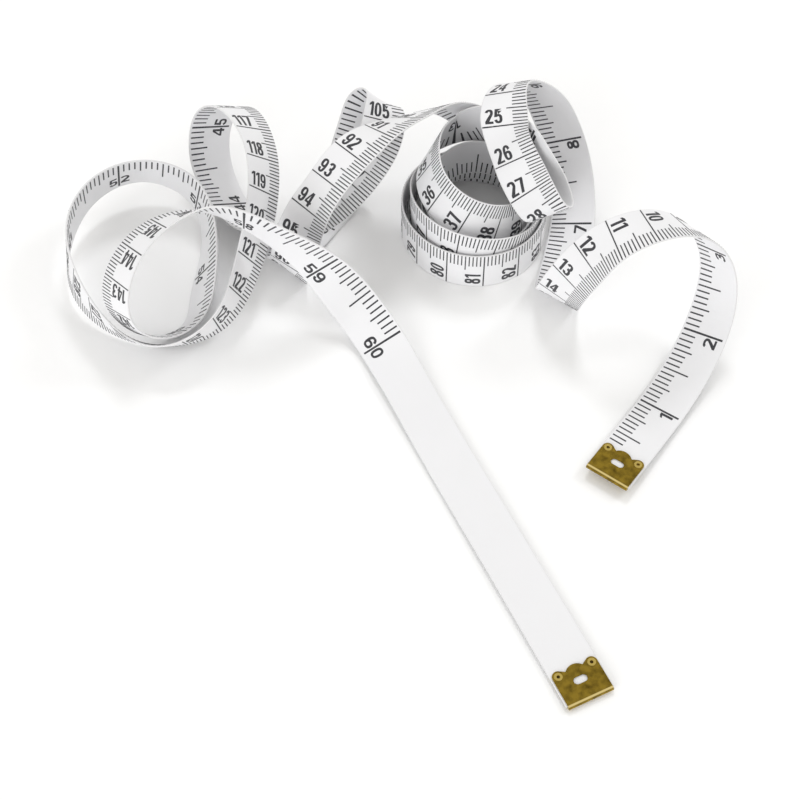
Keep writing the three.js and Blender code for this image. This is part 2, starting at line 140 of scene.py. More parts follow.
CROSSING_LOOP: list[Row] = [
    (14, 79.4, 28.6, -0.42, 0.42, -0.8),
    (5, 70.8, 35, -0.52, 0.58, -0.63),
    (-4, 62.6, 38, -0.6, 0.68, -0.4),
    (-12.5, 55, 37, -0.74, 0.67, -0.08),
    (-21.7, 45.8, 30.2, -0.72, 0.69, -0.1),
    (-27.2, 40.6, 20.6, -0.85, 0.48, 0.22),
    (-29.4, 37.8, 12.4, -0.86, 0.38, 0.36),
    (-31, 40.3, 5.4, -0.8, 0.48, 0.36),
    (-31.5, 46.5, 1.9, -0.86, 0.48, 0.1),
    (-26.4, 57, 0.7, -0.85, 0.53, 0),
    (-19.6, 67.3, 0.9, -0.84, 0.54, 0.03),
    (-15.2, 72.4, 4.4, -0.84, 0.5, 0.1),
    (-13.6, 71.8, 11, -0.9, 0.35, 0.2),
    (-13.6, 69.8, 18.5, -0.93, 0.3, 0.2),
    (-11, 75.5, 25, -0.87, 0.25, 0.42),
    (-8, 79.2, 30.8, -0.82, 0.12, 0.55),
    (-5.2, 77.6, 33.2, -0.8, 0.1, 0.6),
    (-4.8, 70.2, 30.1, -0.8, 0.15, 0.58),
    (-9.5, 62.5, 24.5, -0.8, 0.3, 0.5),
    (-16.8, 57, 18, -0.78, 0.35, 0.5),
    (-24.3, 53.6, 12.6, -0.68, 0.1, 0.72),
]
LEFT_LOOP: list[Row] = [
    (-33.5, 51.6, 7.7, -0.5, -0.45, 0.74),
    (-43.8, 58.6, 4.2, -0.66, -0.57, 0.49),
    (-51, 69.8, 4, -0.75, -0.5, 0.44),
    (-55, 79.7, 9, -0.83, -0.46, 0.32),
    (-53.2, 84.3, 19.6, -0.85, -0.36, 0.4),
    (-45.7, 78.5, 29.2, -0.8, -0.38, 0.46),
    (-38.9, 66.2, 29, -0.68, -0.29, 0.68),
    (-37.8, 48.5, 22, -0.53, -0.3, 0.8),
    (-41.4, 32.5, 15.8, -0.4, -0.28, 0.87),
]
SIDE_RING: list[Row] = [
    (-48.9, 18.6, 9.5, -0.17, -0.43, 0.89),
    (-64, 13.2, 6.4, -0.14, -0.6, 0.78),
    (-78.5, 19.5, 7.1, 0, -0.3, 0.95),
    (-89, 32.5, 9.4, 0.19, -0.05, 0.98),
    (-91.9, 48.9, 11.2, 0.08, -0.12, 0.99),
    (-85.8, 63.4, 13, 0.08, -0.2, 0.98),
    (-72, 70.3, 12.7, 0.16, -0.24, 0.96),
    (-58.7, 65.4, 9.5, 0.21, -0.14, 0.96),
    (-53.8, 50.9, 6.8, 0.39, -0.08, 0.92),
    (-54.2, 33, 6, 0.6, -0.2, 0.77),
    (-56.2, 22, 5.8, 0.52, -0.4, 0.76),
    (-63, 16.2, 6.6, 0.46, -0.55, 0.7),
    (-70.2, 14.8, 10.8, 0.5, -0.62, 0.6),
    (-74.3, 16.2, 18, 0.62, -0.66, 0.42),
    (-73.2, 21.3, 26.8, 0.6, -0.69, 0.4),
    (-65.6, 30.5, 33.2, 0.46, -0.73, 0.5),
    (-52.6, 36.8, 34, 0.37, -0.58, 0.72),
]
RUN_OUT: list[Row] = [
    (-38.2, 33.2, 32.8, 0.44, -0.4, 0.8),
    (-30.8, 32.3, 27.5, 0.51, -0.3, 0.8),
    (-21.4, 31, 18, 0.65, 0.04, 0.76),
    (-14.3, 27.3, 10, 0.76, 0.36, 0.53),
    (-7.3, 20, 4.4, 0.8, 0.45, 0.4),
    (-1, 9.3, 2, 0.9, 0.44, 0.08),
    (9, -11.5, 1.05, 0.9, 0.43, 0),
]
TAIL_LEADER: list[Row] = [
    (24, -42.5, 1.05, 0.91, 0.42, 0),
    (39, -73.5, 1.05, 0.91, 0.42, 0),
]
# How far the print lies on along the tape, by the place on its scale, both in millimetres.
PRINT_SLIP: list[tuple[float, float]] = [
    (0, 1.2),
    (210, 1.2),
    (250, -1),
    (280, -1.6),
    (370, -3.5),
    (640, -1),
    (780, 0),
    (880, 3.5),
    (920, 4.3),
    (950, 3.2),
    (1050, -1),
    (1118, -2),
    (1170, -1.6),
    (1190, -2.6),
    (1230, -2.8),
    (1321, -3.5),
    (1346, -3.3),
    (1372, -3.6),
    (1430, -9.8),
    (1450, -10.6),
    (1499, -9.5),
    (1524, -8),
    (1700, -8),
]


class Body(Enum):
    """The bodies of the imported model."""

    TAPE = "tape"
    START = "start_end"
    TAIL = "tail_end"


class Slot(Enum):
    """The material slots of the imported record."""

    CLOTH = "tape_cloth"
    CLIP = "clip_brass"
    EYELET = "eyelet_brass"


class Face(Enum):
    """The two printed faces of the band, with the side of it that they lie on."""

    INCH = 1
    CENTIMETRE = -1


def new_object(name: str, mesh: bpy.types.Mesh) -> bpy.types.Object:
    """Links a mesh into the scene.

    Args:
        name: the object's name.
        mesh: its mesh, already in place.

    Returns:
        The object, at the origin.
    """
    made = bpy.data.objects.new(name, mesh)
    bpy.context.scene.collection.objects.link(made)
    mesh.name = name
    return made


def plain_mesh(carrier: bpy.types.Object) -> bpy.types.Mesh:
    """Takes an object's evaluated shape and removes the object.

    Args:
        carrier: an object with modifiers.

    Returns:
        A plain mesh of what its modifiers make.
    """
    graph = bpy.context.evaluated_depsgraph_get()
    shown = carrier.evaluated_get(graph)
    mesh = bpy.data.meshes.new_from_object(shown, preserve_all_data_layers=True, depsgraph=graph)
    bpy.data.objects.remove(carrier)
    return mesh


def write_cut_map(mesh: bpy.types.Mesh, places: np.ndarray) -> None:
    """Stores each point's place on the flat cut, in millimetres, as the mesh's own map.

    Args:
        mesh: the mesh to write to.
        places: two numbers for each vertex.
    """
    layer = mesh.uv_layers.new(name=CUT_MAP)
    corners = np.empty(len(mesh.loops), np.int32)
    mesh.loops.foreach_get("vertex_index", corners)
    layer.data.foreach_set("uv", places[corners].astype(np.float32).ravel())


def outward(mesh: bpy.types.Mesh) -> None:
    """Turns a closed mesh's faces outwards.

    Args:
        mesh: the mesh, which is changed.
    """
    work = bmesh.new()
    work.from_mesh(mesh)
    bmesh.ops.recalc_face_normals(work, faces=work.faces)
    work.to_mesh(mesh)
    work.free()


def mesh_from(work: bmesh.types.BMesh, name: str) -> bpy.types.Mesh:
    """Turns a working mesh into a plain one and frees it.

    Args:
        work: the working mesh.
        name: the plain mesh's name.

    Returns:
        The plain mesh.
    """
    mesh = bpy.data.meshes.new(name)
    work.to_mesh(mesh)
    work.free()
    return mesh


def fill_loops(work: bmesh.types.BMesh, loops: Sequence[Sequence[Point]]) -> None:
    """Fills a flat outline and leaves its holes open.

    Args:
        work: the working mesh, empty before.
        loops: the outline and the holes as closed loops.
    """
    edges = []
    for loop in loops:
        points = [work.verts.new((x, y, 0)) for x, y in loop]
        edges += [work.edges.new((a, b)) for a, b in zip(points, points[1:] + points[:1])]
    bmesh.ops.triangle_fill(work, edges=edges, use_beauty=True, normal=(0, 0, 1))


def join_level_faces(work: bmesh.types.BMesh) -> None:
    """Joins the neighbouring faces of a working mesh that lie level."""
    bmesh.ops.dissolve_limit(work, angle_limit=LEVEL_ANGLE, verts=work.verts, edges=work.edges)


def cut_across(work: bmesh.types.BMesh, places: Sequence[float]) -> None:
    """Cuts a flat working mesh along straight lines of equal X.

    Args:
        work: the working mesh.
        places: the place of each line.
    """
    for place in places:
        everything = work.verts[:] + work.edges[:] + work.faces[:]
        bmesh.ops.bisect_plane(work, geom=everything, plane_co=(place, 0, 0), plane_no=(1, 0, 0))


def ring_faces(rings: int, sides: int, closed: bool) -> list[tuple[int, ...]]:
    """The faces between rings of points that follow one another.

    Args:
        rings: how many rings there are.
        sides: how many points a ring has.
        closed: whether the last ring joins the first.

    Returns:
        The four corners of each face.
    """
    faces = []
    for i in range(rings if closed else rings - 1):
        here, there = i * sides, (i + 1) % rings * sides
        for k in range(sides):
            onward = (k + 1) % sides
            faces.append((here + k, here + onward, there + onward, there + k))
    return faces


class Graph:
    """Adds nodes to a tree, each with its inputs, in one call."""

    def __init__(self, tree: bpy.types.NodeTree) -> None:
        """Starts on an empty tree."""
        self.tree = tree
        self.tree.nodes.clear()

    def add(self, kind: str, inputs: dict | None = None, **settings: object) -> bpy.types.Node:
        """Adds one node.

        Args:
            kind: the node's type.
            inputs: values, or the sockets that feed them, by input name or number.
            settings: the node's own properties.

        Returns:
            The new node.
        """
        node = self.tree.nodes.new(kind)
        for name, value in settings.items():
            setattr(node, name, value)
        for key, value in (inputs or {}).items():
            self.feed(node, key, value)
        return node

    def feed(self, node: bpy.types.Node, key: str | int, value: object) -> None:
        """Links a socket to a node's input, or sets the input.

        Args:
            node: the node that takes it.
            key: the input's name or number.
            value: a socket or a plain value.
        """
        if isinstance(key, int):
            target = node.inputs[key]
        else:
            target = next(s for s in node.inputs if s.name == key and s.enabled)
        if isinstance(value, bpy.types.NodeSocket):
            self.tree.links.new(value, target)
        else:
            target.default_value = value

    def math(self, operation: str, *values: object) -> bpy.types.NodeSocket:
        """One step of arithmetic.

        Args:
            operation: the step's name.
            values: numbers or sockets.

        Returns:
            The socket that holds the result.
        """
        return self.add("ShaderNodeMath", dict(enumerate(values)), operation=operation).outputs[0]

    def mix(self, share: object, first: Colour, second: Colour) -> bpy.types.NodeSocket:
        """A colour between two.

        Args:
            share: a number or socket, 0 for the first colour and 1 for the second.
            first: red, green and blue, or a socket.
            second: red, green and blue, or a socket.

        Returns:
            The socket that holds the mixed colour.
        """
        colours = [c if isinstance(c, bpy.types.NodeSocket) else (*c, 1.0) for c in (first, second)]
        feeds = {"Factor": share, "A": colours[0], "B": colours[1]}
        node = self.add("ShaderNodeMix", feeds, data_type="RGBA")
        return next(s for s in node.outputs if s.enabled)

    def noise(self, place: bpy.types.NodeSocket, scale: float, detail: float) -> bpy.types.NodeSocket:
        """A cloudy pattern.

        Args:
            place: where the pattern is read.
            scale: how fine it is.
            detail: how many finer layers it has.

        Returns:
            The socket that holds the pattern's value.
        """
        feeds = {"Vector": place, "Scale": scale, "Detail": detail}
        return self.add("ShaderNodeTexNoise", feeds).outputs[0]

    def ramp(self, value: bpy.types.NodeSocket, none: float, full: float) -> bpy.types.NodeSocket:
        """A share that goes from 0 to 1 between two values.

        Args:
            value: what is measured.
            none: the value that gives 0.
            full: the value that gives 1.

        Returns:
            The socket that holds the share.
        """
        feeds = {"Value": value, "From Min": none, "From Max": full}
        return self.add("ShaderNodeMapRange", feeds).outputs[0]

    def bump(self, height: bpy.types.NodeSocket, strength: float, depth: float) -> bpy.types.NodeSocket:
        """A small relief of the surface.

        Args:
            height: the relief's pattern.
            strength: how strongly it shows.
            depth: how deep it is, in metres.

        Returns:
            The socket that holds the turned normal.
        """
        feeds = {"Height": height, "Strength": strength, "Distance": depth}
        return self.add("ShaderNodeBump", feeds).outputs[0]


def node_group(name: str, inputs: Sequence[tuple[str, str]]) -> tuple[Graph, dict[str, bpy.types.NodeSocket]]:
    """Starts a Geometry Nodes tree that gives back one geometry.

    Args:
        name: the tree's name.
        inputs: each input's name and kind of socket.

    Returns:
        The graph, and its inputs' sockets by name.
    """
    tree = bpy.data.node_groups.new(name, "GeometryNodeTree")
    for title, kind in inputs:
        tree.interface.new_socket(title, in_out="INPUT", socket_type="NodeSocket" + kind)
    tree.interface.new_socket("Geometry", in_out="OUTPUT", socket_type="NodeSocketGeometry")
    graph = Graph(tree)
    given = graph.add("NodeGroupInput")
    return graph, {title: given.outputs[title] for title, _ in inputs}


def run_tree(name: str, mesh: bpy.types.Mesh, tree: bpy.types.NodeTree, values: dict) -> bpy.types.Object:
    """Runs a Geometry Nodes tree on a mesh and keeps the result as a plain object.

    Args:
        name: the new object's name.
        mesh: what goes in.
        tree: the tree to run.
        values: the tree's other inputs, by name.

    Returns:
        The new object, without modifiers.
    """
    carrier = new_object(name + "_flat", mesh)
    modifier = carrier.modifiers.new("lay", "NODES")
    modifier.node_group = tree
    for item in tree.interface.items_tree:
        if item.in_out == "INPUT" and item.name in values:
            modifier[item.identifier] = values[item.name]
    return new_object(name, plain_mesh(carrier))


class NaturalSpline:
    """A cubic spline through rows of numbers, with no bend at its two ends."""

    def __init__(self, knots: np.ndarray, rows: np.ndarray) -> None:
        """Solves the spline's second derivatives.

        Args:
            knots: where the rows stand along it.
            rows: one row of numbers for each knot.
        """
        self.steps = np.diff(knots)
        self.rows = rows
        count = len(knots)
        matrix = np.eye(count)
        right = np.zeros_like(rows)
        slopes = np.diff(rows, axis=0) / self.steps[:, None]
        for i in range(1, count - 1):
            before, after = self.steps[i - 1], self.steps[i]
            matrix[i, i - 1 : i + 2] = before, 2 * (before + after), after
            right[i] = 6 * (slopes[i] - slopes[i - 1])
        self.second = np.linalg.solve(matrix, right)

    def at(self, index: np.ndarray, share: np.ndarray) -> np.ndarray:
        """Values of the spline.

        Args:
            index: the spans to read.
            share: how far along each span.

        Returns:
            One row for each.
        """
        a, b = (1 - share)[:, None], share[:, None]
        bend = self.steps[index][:, None] ** 2 / 6
        straight = a * self.rows[index] + b * self.rows[index + 1]
        return straight + bend * ((a**3 - a) * self.second[index] + (b**3 - b) * self.second[index + 1])

    def slope(self, index: np.ndarray, share: np.ndarray) -> np.ndarray:
        """Directions of the spline.

        Args:
            index: the spans to read.
            share: how far along each span.

        Returns:
            One row for each.
        """
        a, b = (1 - share)[:, None], share[:, None]
        step = self.steps[index][:, None]
        straight = (self.rows[index + 1] - self.rows[index]) / step
        bend_a = (1 - 3 * a * a) * self.second[index]
        bend_b = (3 * b * b - 1) * self.second[index + 1]
        return straight + step / 6 * (bend_a + bend_b)


@dataclass(frozen=True)
class Coil:
    """The wound part of the route. Sizes are in millimetres, places along it in turns."""

    centre_x: float = 21.0
    centre_y: float = 61.0
    steps_per_turn: int = 24
    standing_height: float = 6.5

    def stations(self) -> list[Row]:
        """Winds the coil's wall round its centre.

        Returns:
            All stations of the coil, in order.
        """
        table = np.array(COIL_WALL)
        turns = table[:, 0]
        wall = NaturalSpline(turns, table[:, 1:])
        steps = round((turns[-1] - turns[0]) * self.steps_per_turn)
        places = np.linspace(turns[0], turns[-1], steps + 1)
        index = np.clip(np.searchsorted(turns, places, side="right") - 1, 0, len(turns) - 2)
        radius, middle, lean = wall.at(index, (places - turns[index]) / wall.steps[index]).T
        lean = np.radians(np.maximum(0.0, lean))
        height = np.maximum(middle, np.cos(lean) * self.standing_height)
        angle = np.pi / 2 + 2 * np.pi * places
        out_x, out_y, tip = np.cos(angle), np.sin(angle), np.sin(lean)
        x = self.centre_x + radius * out_x
        y = self.centre_y + radius * out_y
        columns = (x, y, height, out_x * tip, out_y * tip, -np.cos(lean))
        return [tuple(row) for row in np.stack(columns, axis=1).tolist()]


@dataclass
class TapeRoute:
    """The line that the tape lies along, from the start clip to the tail clip."""

    pitch: float = 0.8 * MM
    end_straight: float = 14 * MM
    shift: tuple[float, float, float] = CENTRING
    coil: Coil = field(default_factory=Coil)

    def __post_init__(self) -> None:
        """Works out the route's points, its two directions and its running length."""
        head = START_STRETCH + RIGHT_ARCH + BACK_HOOP
        tail = CROSSING_LOOP + LEFT_LOOP + SIDE_RING + RUN_OUT + TAIL_LEADER
        stations = np.array(head + self.coil.stations() + tail, float)
        centres = stations[:, :3] * MM
        acrosses = stations[:, 3:] / np.linalg.norm(stations[:, 3:], axis=1)[:, None]
        spans = np.linalg.norm(np.diff(centres, axis=0), axis=1)
        knots = np.concatenate([[0.0], np.cumsum(spans)])
        steps = np.maximum(1, np.round(spans / self.pitch).astype(int))
        index = np.append(np.repeat(np.arange(len(spans)), steps), len(spans) - 1)
        share = np.append(np.concatenate([np.arange(n) / n for n in steps]), 1.0)
        line = NaturalSpline(knots, centres)
        along = line.slope(index, share)
        self.centre = self._with_ends(line.at(index, share) + np.array(self.shift), along)
        across = NaturalSpline(knots, acrosses).at(index, share)
        along /= np.linalg.norm(along, axis=1)[:, None]
        across -= along * np.sum(along * across, axis=1)[:, None]
        across /= np.linalg.norm(across, axis=1)[:, None]
        extra = (len(self.centre) - len(along)) // 2
        self.along = np.pad(along, ((extra, extra), (0, 0)), mode="edge")
        self.across = np.pad(across, ((extra, extra), (0, 0)), mode="edge")
        self.out = np.cross(self.along, self.across)
        moves = np.linalg.norm(np.diff(self.centre, axis=0), axis=1)
        self.travelled = np.concatenate([[0.0], np.cumsum(moves)])
        first_rows = extra + np.cumsum(steps)
        self.start_joint = self.travelled[first_rows[len(START_STRETCH) - 1]]
        self.tail_joint = self.travelled[first_rows[-len(TAIL_LEADER)]]
        self.length = self.travelled[-1]

    def _with_ends(self, centres: np.ndarray, along: np.ndarray) -> np.ndarray:
        """Adds the straight ends to the line.

        Args:
            centres: points of the curved line.
            along: its directions there.

        Returns:
            The points with the straight ends before and after them.
        """
        count = round(self.end_straight / self.pitch)
        reach = (np.arange(count) + 1)[:, None] * self.end_straight / count
        first = along[0] / np.linalg.norm(along[0])
        last = along[-1] / np.linalg.norm(along[-1])
        return np.concatenate([centres[0] - reach[::-1] * first, centres, centres[-1] + reach * last])

    def point(self, length: float) -> Vector:
        """The centre line's point at a running length, in metres."""
        return Vector([np.interp(length, self.travelled, self.centre[:, i]) for i in range(3)])

    def end_frame(self, row: int, inward: float, back: float) -> Matrix:
        """A frame on one end of the tape: X in along it, Z out of the inch face.

        Args:
            row: 0 for the start, -1 for the tail.
            inward: 1 where the way in runs with the route, or -1.
            back: how far beyond the end its origin lies.

        Returns:
            The frame's matrix.
        """
        x = Vector(self.along[row]) * inward
        y = Vector(self.across[row]) * inward
        z = Vector(self.out[row])
        origin = Vector(self.centre[row]) - x * back
        return Matrix.Translation(origin) @ Matrix((x, y, z)).transposed().to_4x4()

    def build(self) -> bpy.types.Object:
        """Makes the line as an object for the trees to read.

        Returns:
            A chain of edges that carries the two directions and the print's slip as attributes.
        """
        mesh = bpy.data.meshes.new("route")
        count = len(self.centre)
        mesh.from_pydata(self.centre.tolist(), [(i, i + 1) for i in range(count - 1)], [])
        for name, rows in (("across", self.across), ("out", self.out)):
            attribute = mesh.attributes.new(name, "FLOAT_VECTOR", "POINT")
            attribute.data.foreach_set("vector", rows.astype(np.float32).ravel())
        places, slips = np.array(PRINT_SLIP).T * MM
        slip = mesh.attributes.new("slip", "FLOAT", "POINT")
        slip.data.foreach_set("value", np.interp(self.travelled, places, slips).astype(np.float32))
        return new_object("route", mesh)


def lay_tree() -> bpy.types.NodeTree:
    """A tree that bends a flat piece along the route.

    In the flat piece X is the running length, Y the way across and Z the height above
    the band's middle. The slip input is 1 for print and 0 for cloth.

    Returns:
        The tree, which ends in the piece with its material.
    """
    kinds = [("Flat", "Geometry"), ("Route", "Object"), ("Finish", "Material"), ("Slip", "Float")]
    graph, given = node_group("lay_along_route", kinds)
    route = graph.add("GeometryNodeObjectInfo", {"Object": given["Route"]})
    line = graph.add("GeometryNodeMeshToCurve", {"Mesh": route.outputs["Geometry"]})
    position = graph.add("GeometryNodeInputPosition")
    flat = graph.add("ShaderNodeSeparateXYZ", {"Vector": position.outputs[0]})

    def read(name: str, kind: str, length: object) -> tuple[bpy.types.Node, bpy.types.NodeSocket]:
        """Reads one attribute of the route.

        Args:
            name: the attribute's name.
            kind: its kind of data.
            length: the running length to read it at.

        Returns:
            The node that reads it, and the socket that holds the attribute.
        """
        wanted = graph.add("GeometryNodeInputNamedAttribute", {"Name": name}, data_type=kind)
        feeds = {"Curves": line.outputs["Curve"], "Value": wanted.outputs["Attribute"], "Length": length}
        node = graph.add("GeometryNodeSampleCurve", feeds, data_type=kind, mode="LENGTH")
        return node, next(s for s in node.outputs if s.name == "Value" and s.enabled)

    slip = read("slip", "FLOAT", flat.outputs["X"])[1]
    length = graph.math("MULTIPLY_ADD", slip, given["Slip"], flat.outputs["X"])
    place: bpy.types.NodeSocket | None = None
    for name, axis in (("across", "Y"), ("out", "Z")):
        sample, value = read(name, "FLOAT_VECTOR", length)
        move = graph.add("ShaderNodeVectorMath", {0: value, "Scale": flat.outputs[axis]}, operation="SCALE")
        start = sample.outputs["Position"] if place is None else place
        place = graph.add("ShaderNodeVectorMath", {0: start, 1: move.outputs[0]}, operation="ADD").outputs[0]
    laid = graph.add("GeometryNodeSetPosition", {"Geometry": given["Flat"], "Position": place})
    real = graph.add("GeometryNodeRealizeInstances", {"Geometry": laid.outputs[0]})
    feeds = {"Geometry": real.outputs[0], "Material": given["Finish"]}
    dressed = graph.add("GeometryNodeSetMaterial", feeds)
    graph.add("NodeGroupOutput", {"Geometry": dressed.outputs[0]})
    return graph.tree


def tick_tree(lay: bpy.types.NodeTree) -> bpy.types.NodeTree:
    """A tree that repeats one bar as a row of ticks and lays them along the route.

    Args:
        lay: the tree that bends a flat piece along the route.

    Returns:
        The tree, which picks each tick's length and width by its number.
    """
    floats = ["Pitch", "Foot", "Inward", "Height", "Ink", "Line", "Whole line"]
    lengths = ["Whole length", "Half length", "Quarter length", "Short length"]
    counts = ["First", "Count", "Whole every", "Half every", "Quarter every"]
    kinds = [("Bar", "Geometry"), ("Route", "Object"), ("Finish", "Material")]
    kinds += [(title, "Float") for title in floats + lengths] + [(title, "Int") for title in counts]
    graph, given = node_group("tick_row", kinds)
    index = graph.add("GeometryNodeInputIndex").outputs[0]
    number = graph.math("ADD", index, given["First"])

    def chosen(every: str, yes: object, no: object) -> bpy.types.NodeSocket:
        """Picks a value for each tick.

        Args:
            every: the input that the tick's number is divided by.
            yes: the value where it divides evenly.
            no: the value for the rest.

        Returns:
            The socket that holds the picked value.
        """
        rest = graph.math("MODULO", number, given[every])
        even = graph.math("LESS_THAN", rest, 0.5)
        feeds = {"Switch": even, "False": no, "True": yes}
        return graph.add("GeometryNodeSwitch", feeds, input_type="FLOAT").outputs[0]

    length = chosen("Quarter every", given["Quarter length"], given["Short length"])
    length = chosen("Half every", given["Half length"], length)
    length = chosen("Whole every", given["Whole length"], length)
    width = chosen("Whole every", given["Whole line"], given["Line"])
    along = graph.math("MULTIPLY", number, given["Pitch"])
    inward = graph.math("MULTIPLY", given["Inward"], graph.math("MULTIPLY", length, 0.5))
    across = graph.math("ADD", given["Foot"], inward)
    place = graph.add("ShaderNodeCombineXYZ", {"X": along, "Y": across, "Z": given["Height"]})
    points = graph.add("GeometryNodePoints", {"Count": given["Count"], "Position": place.outputs[0]})
    size = graph.add("ShaderNodeCombineXYZ", {"X": width, "Y": length, "Z": given["Ink"]})
    feeds = {"Points": points.outputs[0], "Instance": given["Bar"], "Scale": size.outputs[0]}
    bars = graph.add("GeometryNodeInstanceOnPoints", feeds)
    real = graph.add("GeometryNodeRealizeInstances", {"Geometry": bars.outputs[0]})
    laid = graph.add("GeometryNodeGroup", {"Slip": 1.0}, node_tree=lay)
    for key, source in (("Flat", real.outputs[0]), ("Route", given["Route"]), ("Finish", given["Finish"])):
        graph.feed(laid, key, source)
    graph.add("NodeGroupOutput", {"Geometry": laid.outputs[0]})
    return graph.tree


def new_material(name: str) -> tuple[bpy.types.Material, Graph, bpy.types.Node]:
    """Starts a material with one shader in it.

    Args:
        name: the material's name.

    Returns:
        The material, its graph and its shader.
    """
    material = bpy.data.materials.new(name)
    material.use_nodes = True
    graph = Graph(material.node_tree)
    shader = graph.add("ShaderNodeBsdfPrincipled")
    graph.add("ShaderNodeOutputMaterial", {"Surface": shader.outputs[0]})
    return material, graph, shader


@dataclass(frozen=True)
class ClothFinish:
    """Coated glass-fibre cloth: white with a cool cast, a fine weave and slightly grey edges.

    The threads and the edges are measured on the flat cut, in millimetres.
    """

    white: tuple[float, float, float] = (0.852, 0.85, 0.868)
    shade: tuple[float, float, float] = (0.822, 0.82, 0.833)
    edge: tuple[float, float, float] = (0.68, 0.675, 0.675)
    thread_pitch: float = 0.42
    grain_scale: float = 2.6
    grain_detail: float = 4.0
    grain_height: float = 0.8
    cloud_scale: float = 0.07
    cloud_detail: float = 3.0
    edge_from: float = 6.15
    edge_to: float = 6.45
    gloss: float = 0.35
    roughness: float = 0.42
    roughness_spread: float = 0.14
    weave_depth: float = 0.012 * MM
    weave_strength: float = 0.5

    def material(self) -> bpy.types.Material:
        """Builds the material.

        Returns:
            The material, which reads the place on the flat cut.
        """
        material, graph, shader = new_material("woven_tape")
        cut = graph.add("ShaderNodeUVMap", uv_map=CUT_MAP).outputs[0]
        place = graph.add("ShaderNodeSeparateXYZ", {"Vector": cut})
        turn = 2 * math.pi / self.thread_pitch
        warp = graph.math("SINE", graph.math("MULTIPLY", place.outputs["Y"], turn))
        weft = graph.math("SINE", graph.math("MULTIPLY", place.outputs["X"], turn))
        weave = graph.math("MULTIPLY", warp, weft)
        grain = graph.noise(cut, self.grain_scale, self.grain_detail)
        cloud = graph.noise(cut, self.cloud_scale, self.cloud_detail)
        tone = graph.mix(cloud, self.white, self.shade)
        from_middle = graph.math("ABSOLUTE", place.outputs["Y"])
        border = graph.ramp(from_middle, self.edge_from, self.edge_to)
        worn = graph.math("MULTIPLY", border, grain)
        graph.feed(shader, "Base Color", graph.mix(worn, tone, self.edge))
        spread = graph.math("MULTIPLY", grain, self.roughness_spread)
        graph.feed(shader, "Roughness", graph.math("ADD", spread, self.roughness))
        height = graph.math("ADD", weave, graph.math("MULTIPLY", grain, self.grain_height))
        graph.feed(shader, "Normal", graph.bump(height, self.weave_strength, self.weave_depth))
        graph.feed(shader, "Specular IOR Level", self.gloss)
        return material


@dataclass(frozen=True)
class InkFinish:
    """Black printing ink with a thin, slightly uneven coat."""

    dense: tuple[float, float, float] = (0.012, 0.012, 0.016)
    thin: tuple[float, float, float] = (0.07, 0.07, 0.078)
    speckle_scale: float = 1400.0
    speckle_detail: float = 3.0
    roughness: float = 0.5

    def material(self) -> bpy.types.Material:
        """Builds the material.

        Returns:
            The material, which reads the object's own coordinates.
        """
        material, graph, shader = new_material("printing_ink")
        place = graph.add("ShaderNodeTexCoord").outputs["Object"]
        coat = graph.noise(place, self.speckle_scale, self.speckle_detail)
        graph.feed(shader, "Base Color", graph.mix(coat, self.dense, self.thin))
        graph.feed(shader, "Roughness", self.roughness)
        return material


@dataclass(frozen=True)
class BrassFinish:
    """Thin rolled brass with fine brush lines, a little tarnish and a painted highlight along the fold.

    The painted highlight's band is measured on the flat cut from the middle of the fold, in millimetres.
    """

    name: str
    bright: tuple[float, float, float] = (0.36, 0.242, 0.032)
    tarnished: tuple[float, float, float] = (0.12, 0.078, 0.011)
    rubbed: tuple[float, float, float] = (0.95, 0.76, 0.33)
    rubbed_place: float = 0.74
    rubbed_reach: float = 0.3
    rubbed_core: float = 0.12
    brush_scale: tuple[float, float, float] = (0.5, 9.0, 1.0)
    brush_detail: float = 5.0
    brush_depth: float = 0.006 * MM
    brush_strength: float = 0.2
    patch_scale: float = 0.45
    patch_detail: float = 4.0
    tarnish_from: float = 0.4
    tarnish_full: float = 0.75
    roughness: float = 0.1
    roughness_spread: float = 0.14

    def material(self) -> bpy.types.Material:
        """Builds the material.

        Returns:
            The material, which reads the place on the flat cut.
        """
        material, graph, shader = new_material(self.name)
        cut = graph.add("ShaderNodeUVMap", uv_map=CUT_MAP).outputs[0]
        drawn = graph.add("ShaderNodeMapping", {"Vector": cut, "Scale": self.brush_scale}).outputs[0]
        lines = graph.noise(drawn, 1.0, self.brush_detail)
        patches = graph.noise(cut, self.patch_scale, self.patch_detail)
        age = graph.ramp(patches, self.tarnish_from, self.tarnish_full)
        metal = graph.mix(age, self.bright, self.tarnished)
        # Painted highlight: the base colour turns bright in a band beside the fold, where the bent sheet
        # catches the light.
        place = graph.add("ShaderNodeSeparateXYZ", {"Vector": cut})
        from_fold = graph.math("ABSOLUTE", place.outputs["X"])
        from_line = graph.math("ABSOLUTE", graph.math("SUBTRACT", from_fold, self.rubbed_place))
        rubbed = graph.ramp(from_line, self.rubbed_reach, self.rubbed_core)
        graph.feed(shader, "Base Color", graph.mix(rubbed, metal, self.rubbed))
        graph.feed(shader, "Metallic", 1.0)
        spread = graph.math("MULTIPLY", lines, self.roughness_spread)
        graph.feed(shader, "Roughness", graph.math("ADD", spread, self.roughness))
        graph.feed(shader, "Normal", graph.bump(lines, self.brush_strength, self.brush_depth))
        return material


